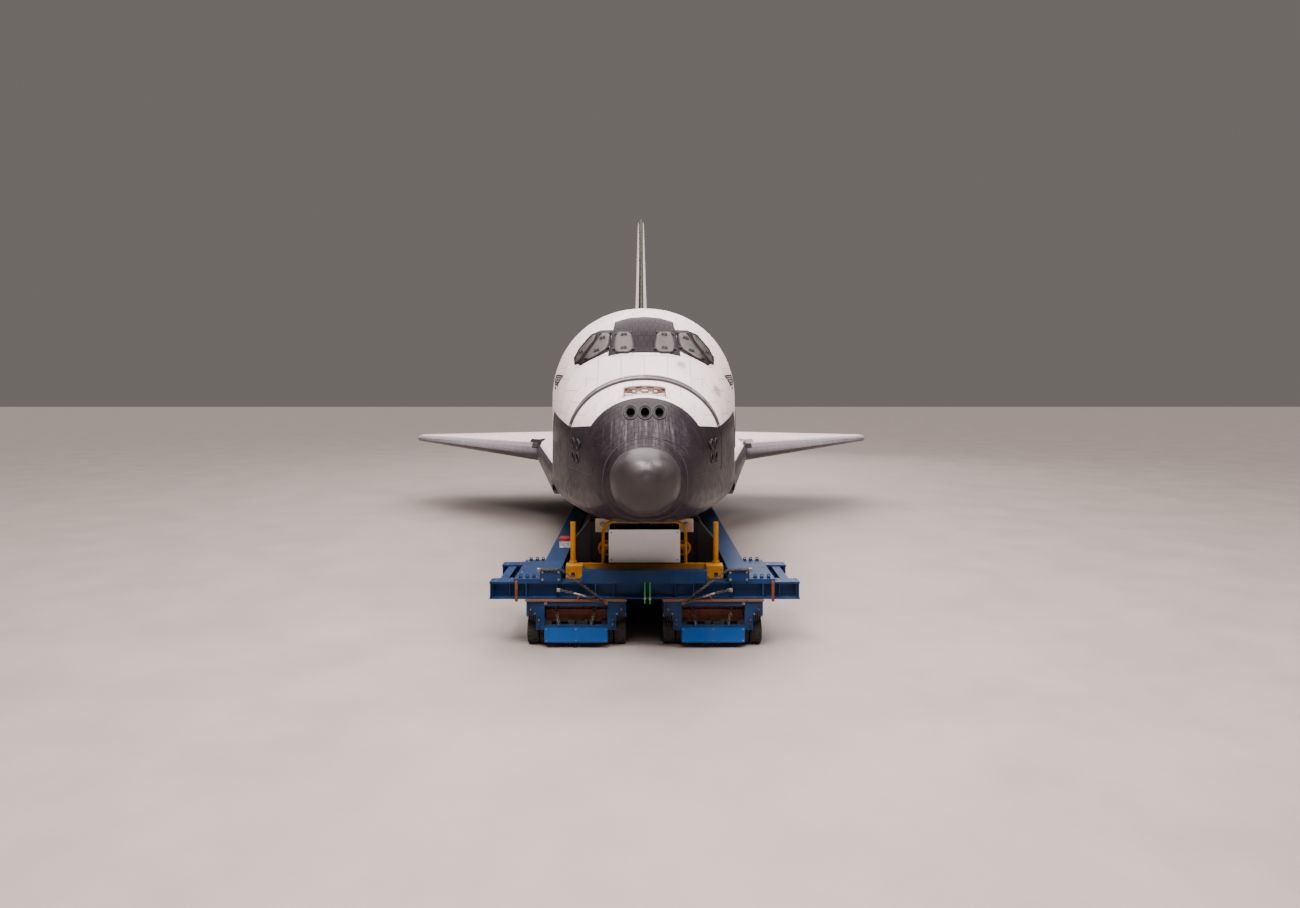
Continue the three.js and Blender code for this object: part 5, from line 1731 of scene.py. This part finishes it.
class ORBITER_OT_units(bpy.types.Operator):
    """Dresses the wheeled units: blank end panel, recess, hooks, rams, pipes, valves, timber"""

    bl_idname = "orbiter.units"
    bl_label = "Wheeled units"

    def execute(self, context):
        fittings = context.scene.orbiter_fittings
        parts = self.end_parts(fittings.bolt_radius)
        for side in (-1, 1):
            parts += [*self.valves(side), *self.flank_parts(side)]
        ring = loop((0, 0, 1.163), (0, 0, 1), 0.05, 0.012, "steel", 16, 6)
        parts.append(spread(ring, [(x, t, 0) for x in (-1.05, 1.05) for t in RING_PLACES]))
        dressed = merged(parts)
        for unit, x, station, way in UNITS:
            turn = Matrix.Rotation(0 if way > 0 else math.pi, 4, "Z")
            fit([twin(dressed, Matrix.Translation(at(x, station, 0)) @ turn)],
                f"unit_fittings_{unit}", "blue_paint")
        bpy.data.objects.remove(dressed)
        fit(self.planks(fittings.timber), "timber_packing", "nozzle_metal")
        return {"FINISHED"}

    def planks(self, overhang):
        """Three timbers between each cross beam and each unit under it."""
        parts = []
        for front in CROSS_FRONTS:
            for middle in (-UNIT_X, UNIT_X):
                for i in range(3):
                    start = front - overhang + i * (CROSS_WIDTH / 3 + 0.025)
                    parts.append(slab(at(middle - 1.24, start, 1.157),
                                      at(middle + 1.24, start + CROSS_WIDTH / 3 + 0.02, 1.2096),
                                      "timber", 0.006))
        return parts

    def end_parts(self, radius):
        """The blank end panel, the recess behind it with its fittings, and the tie-down eyes."""
        rib = slab((-0.01, 0.24, 0.9), (0.01, 0.3, 1.03), "rust", 0.003, segments=1)
        rod = bar((0, 0.05, 0.035), (0, 0.05, 0.155), 0.009, "blue", sides=10)
        parts = [slab((-0.775, -0.014, 0.148), (0.775, -0.001, 0.512), "bright", 0.004,
                      inset(0.02, -0.004)),
                 bolts([(x, -0.014, z) for x in (-0.73, 0, 0.73) for z in (0.19, 0.47)],
                       radius * 0.6, (0, -1, 0)),
                 slab((-0.765, 0.3, 0.57), (0.765, 0.33, 1.035), "rust", 0.006,
                      inset(0.04, -0.01)),
                 spread(rib, [(-0.7 + 0.1 * i, 0, 0) for i in range(15)]),
                 slab((-0.765, 0.225, 0.885), (0.765, 0.3, 0.9), "rust", 0.004),
                 spread(rod, [(x, 0, 0) for x in RECESS_RODS])]
        for x, lean in ((-0.43, -0.1), (0.38, 0.1)):
            hook = [(x + lean, y, z) for y, z in ((0.2, 0.97), (0.21, 1.02), (0.25, 1.045),
                                                  (0.3, 1.04))]
            parts += [slab((x - 0.05, 0.02, 0.505), (x + 0.05, 0.045, 0.62), "blue", 0.02,
                           segments=3),
                      loop((x, 0.032, 0.6), (1, 0, 0), 0.04, 0.013, "steel", 16, 6),
                      chain((x, 0.032, 0.64), (x + lean, 0.2, 0.98), 0.011),
                      pipe(hook, 0.016, "steel")]
        parts += [slab((x - wide / 2, 0.1, 0.505), (x + wide / 2, 0.22, 0.51 + high), "hose",
                       0.01, inset(0.015, -0.008)) for x, wide, high in RECESS_LUMPS]
        for x in (-0.74, 0.74):
            parts += [slab((x - 0.035, -0.012, 1.07), (x + 0.035, 0.0, 1.15), "steel", 0.008),
                      loop((x, -0.035, 1.11), (1, 0, 0), 0.03, 0.01, "steel", 14, 6)]
        return parts

    def valves(self, side):
        """The stack of couplings and bent pipes at a corner of the unit's end."""
        parts = []
        for i in range(5):
            x, z = side * 0.9, 0.56 + 0.05 * i
            parts.append(bar((x, -0.001, z), (x, -0.055, z), 0.019, "steel" if i % 2 else "hose",
                             0.003, inset(0.006, -0.012), sides=12, segments=1))
        for i in range(4):
            x, z = side * (1.0 + 0.05 * i), 0.86 + 0.055 * i
            drop = 0.03 * i
            parts += [bar((x, -0.001, z), (x, -0.06, z), 0.022, "hose" if i % 2 else "steel",
                          0.003, inset(0.007, -0.014), sides=12, segments=1),
                      pipe([(x, -0.03, z - 0.02), (x, -0.03, z - 0.16 - drop),
                            (x, 0.05, z - 0.22 - drop), (x, 0.13, z - 0.22 - drop)], 0.012,
                           "hose")]
        return parts

    def flank_parts(self, side):
        """Recessed plates, pipes with clips and axle rams along one side of the unit."""
        near, far = sorted((side * UNIT_HALF, side * (UNIT_HALF + 0.012)))
        x = side * 1.2
        clip = slab((x - 0.03, 0.2, 0.735), (x + 0.03, 0.24, 0.812), "steel", 0.005, segments=1)
        parts = [slab((near, start, 0.83), (far, start + 0.92, 1.13), "blue", 0.004,
                      inset(0.05, 0.0), inset(0.008, -0.009), face=facing(side, 0, 0))
                 for start in PLATE_STARTS]
        parts += [pipe([(x, 0.1, 0.79), (x, 5.5, 0.79)], 0.016, "steel"),
                  pipe([(x, 0.1, 0.755), (x, 5.5, 0.755)], 0.011, "hose"),
                  spread(clip, [(0, 0.74 * i, 0) for i in range(8)])]
        x = side * 0.395
        for t in AXLES:
            parts += [bar((x, t + 0.3, 0.8), (x, t + 0.16, 0.6), 0.05, "navy", 0.006),
                      bar((x, t + 0.17, 0.61), (x, t + 0.07, 0.46), 0.026, "steel", sides=12),
                      bar((side * 0.36, t + 0.07, 0.46), (side * 0.485, t + 0.07, 0.46), 0.04,
                          "navy", 0.005, sides=14)]
        return parts


CHAIN_STATION = 2.985
# The x and height of both ends of each stretch of chain, and of the tensioner between two
CHAIN_RUNS = (((2.58, 1.952), (2.04, 1.952)), ((2.04, 1.952), (0.96, 1.16)),
              ((2.1, 1.46), (1.72, 1.37)), ((1.42, 1.29), (0.96, 1.13)))
TENSIONER = ((1.72, 1.37), (1.42, 1.29))
LEVER = ((1.57, 1.33), (1.66, 1.19))
STRAP_X = (0.005, 0.13)


class ORBITER_OT_tie_downs(bpy.types.Operator):
    """Draws the chains and straps that hold the beams on the wheeled units"""

    bl_idname = "orbiter.tie_downs"
    bl_label = "Tie-downs"

    def execute(self, context):
        wire = context.scene.orbiter_fittings.chain_wire

        def spot(x, z):
            return at(x, CHAIN_STATION, z)

        parts = [chain(spot(*start), spot(*end), wire) for start, end in CHAIN_RUNS]
        parts += [bar(spot(*TENSIONER[0]), spot(*TENSIONER[1]), 0.028, "steel", 0.006),
                  bar(spot(*LEVER[0]), spot(*LEVER[1]), 0.014, "red", 0.004, sides=10,
                      segments=1),
                  slab(at(0.91, 2.96, 1.09), at(0.98, 3.03, 1.18), "rust", 0.015, segments=3)]
        parts += [slab(at(x - 0.05, 2.95, z - 0.06), at(x + 0.05, 3.052, z + 0.03), "steel",
                       0.02, segments=3) for x, z in ((2.58, 1.952), (2.1, 1.46))]
        parts = mirrored(parts)
        for x in STRAP_X:
            parts += [slab(at(x - 0.018, 3.02, 1.1), at(x + 0.018, 3.032, 1.63), "green", 0.003,
                           inset(0.004, 0.002), segments=1),
                      slab(at(x - 0.03, 3.008, 1.2), at(x + 0.03, 3.04, 1.27), "steel", 0.008)]
        fit(parts, "tie_downs", "nozzle_metal")
        return {"FINISHED"}


LAMP_TINT = (1.0, 0.94, 0.93)
# Name, place, aimed at, across, along and watts of each soft lamp
LAMPS = (
    ("key", (-8, -27, 30), (0, -13, 6), 11, 8, 8200),
    ("fill", (15, -23, 28), (0, -10, 5), 12, 9, 6500),
    ("nose strip left", (-1.6, -25, 14.5), (0, -18, 4.4), 1.1, 4, 900),
    ("nose strip right", (1.6, -25, 14.5), (0, -18, 4.4), 1.1, 4, 900),
    ("top", (0, 2, 30), (0, 2, 0), 26, 44, 11000),
    ("back", (12, 40, 18), (0, 8, 6), 16, 10, 4200),
)
# Watts per square metre, tilt and spread in degrees of the broad light from above
OVERHEAD = (2.6, (-14, -6), 70)
SKY_STRENGTH = 0.22
CAMERA_SPOT = (-0.148, -35.92, 6.47)
CAMERA_LENS, CAMERA_SENSOR, CAMERA_SHIFT = 23.04, 36, (0.0088, -0.0538)


class ORBITER_OT_stage(bpy.types.Operator):
    """Lays the pale floor, hangs the soft lights and sets the camera"""

    bl_idname = "orbiter.stage"
    bl_label = "Stage"

    def execute(self, context):
        deselect()
        bpy.ops.mesh.primitive_plane_add(size=400, location=(0, 0, 0))
        floor = bpy.context.object
        floor.name = floor.data.name = "floor"
        floor.data.materials.append(worked_material(
            "floor", (174, 160, 154), (162, 148, 142), 0.4, (0.6, 0.75), 0.0, 0.0005))
        scene = context.scene
        scene.world = scene.world or bpy.data.worlds.new("Studio")
        scene.world.use_nodes = True
        sky = scene.world.node_tree.nodes["Background"]
        sky.inputs["Color"].default_value = rgb(222, 212, 206)
        sky.inputs["Strength"].default_value = SKY_STRENGTH
        for name, spot, aim, wide, deep, power in LAMPS:
            lamp = self.lamp(name, "AREA", spot, power)
            lamp.rotation_euler = (Vector(aim) - Vector(spot)).to_track_quat("-Z", "Y").to_euler()
            lamp.data.shape = "RECTANGLE"
            lamp.data.size, lamp.data.size_y = wide, deep
        power, (tilt, roll), softness = OVERHEAD
        overhead = self.lamp("overhead", "SUN", (0, 0, 40), power)
        overhead.rotation_euler = (math.radians(tilt), math.radians(roll), 0)
        overhead.data.angle = math.radians(softness)
        bpy.ops.object.camera_add(location=CAMERA_SPOT, rotation=(math.radians(90), 0, 0))
        camera = bpy.context.object
        camera.data.lens, camera.data.sensor_width = CAMERA_LENS, CAMERA_SENSOR
        camera.data.shift_x, camera.data.shift_y = CAMERA_SHIFT
        camera.data.clip_end = 400
        scene.camera = camera
        return {"FINISHED"}

    def lamp(self, name, kind, spot, power):
        deselect()
        bpy.ops.object.light_add(type=kind, location=spot)
        lamp = bpy.context.object
        lamp.name = name
        lamp.data.energy, lamp.data.color = power, LAMP_TINT
        return lamp


STEPS = (
    ORBITER_OT_finishes, ORBITER_OT_skins, ORBITER_OT_paints, ORBITER_OT_nose, ORBITER_OT_windows,
    ORBITER_OT_payload_bay, ORBITER_OT_hatch, ORBITER_OT_engines, ORBITER_OT_tail_fittings,
    ORBITER_OT_beams, ORBITER_OT_front_frame, ORBITER_OT_wheels, ORBITER_OT_units,
    ORBITER_OT_tie_downs, ORBITER_OT_stage,
)


class ORBITER_PT_panel(bpy.types.Panel):
    """Lists the settings and the steps in the sidebar"""

    bl_idname = "ORBITER_PT_panel"
    bl_label = "Orbiter and Transporter"
    bl_space_type = "VIEW_3D"
    bl_region_type = "UI"
    bl_category = "Orbiter"

    def draw(self, context):
        for settings in (context.scene.orbiter_colours, context.scene.orbiter_fittings):
            for label in settings.bl_rna.properties.keys():
                if label not in ("rna_type", "name"):
                    self.layout.prop(settings, label)
        for step in STEPS:
            self.layout.operator(step.bl_idname)


CLASSES = (ColourSettings, FittingSettings, *STEPS, ORBITER_PT_panel)


def register():
    for made in CLASSES:
        bpy.utils.register_class(made)
    bpy.types.Scene.orbiter_colours = bpy.props.PointerProperty(type=ColourSettings)
    bpy.types.Scene.orbiter_fittings = bpy.props.PointerProperty(type=FittingSettings)


def unregister():
    del bpy.types.Scene.orbiter_colours
    del bpy.types.Scene.orbiter_fittings
    for made in reversed(CLASSES):
        bpy.utils.unregister_class(made)


def main():
    register()
    for step in STEPS:
        group, label = step.bl_idname.split(".")
        getattr(getattr(bpy.ops, group), label)()


if __name__ == "__main__":
    main()
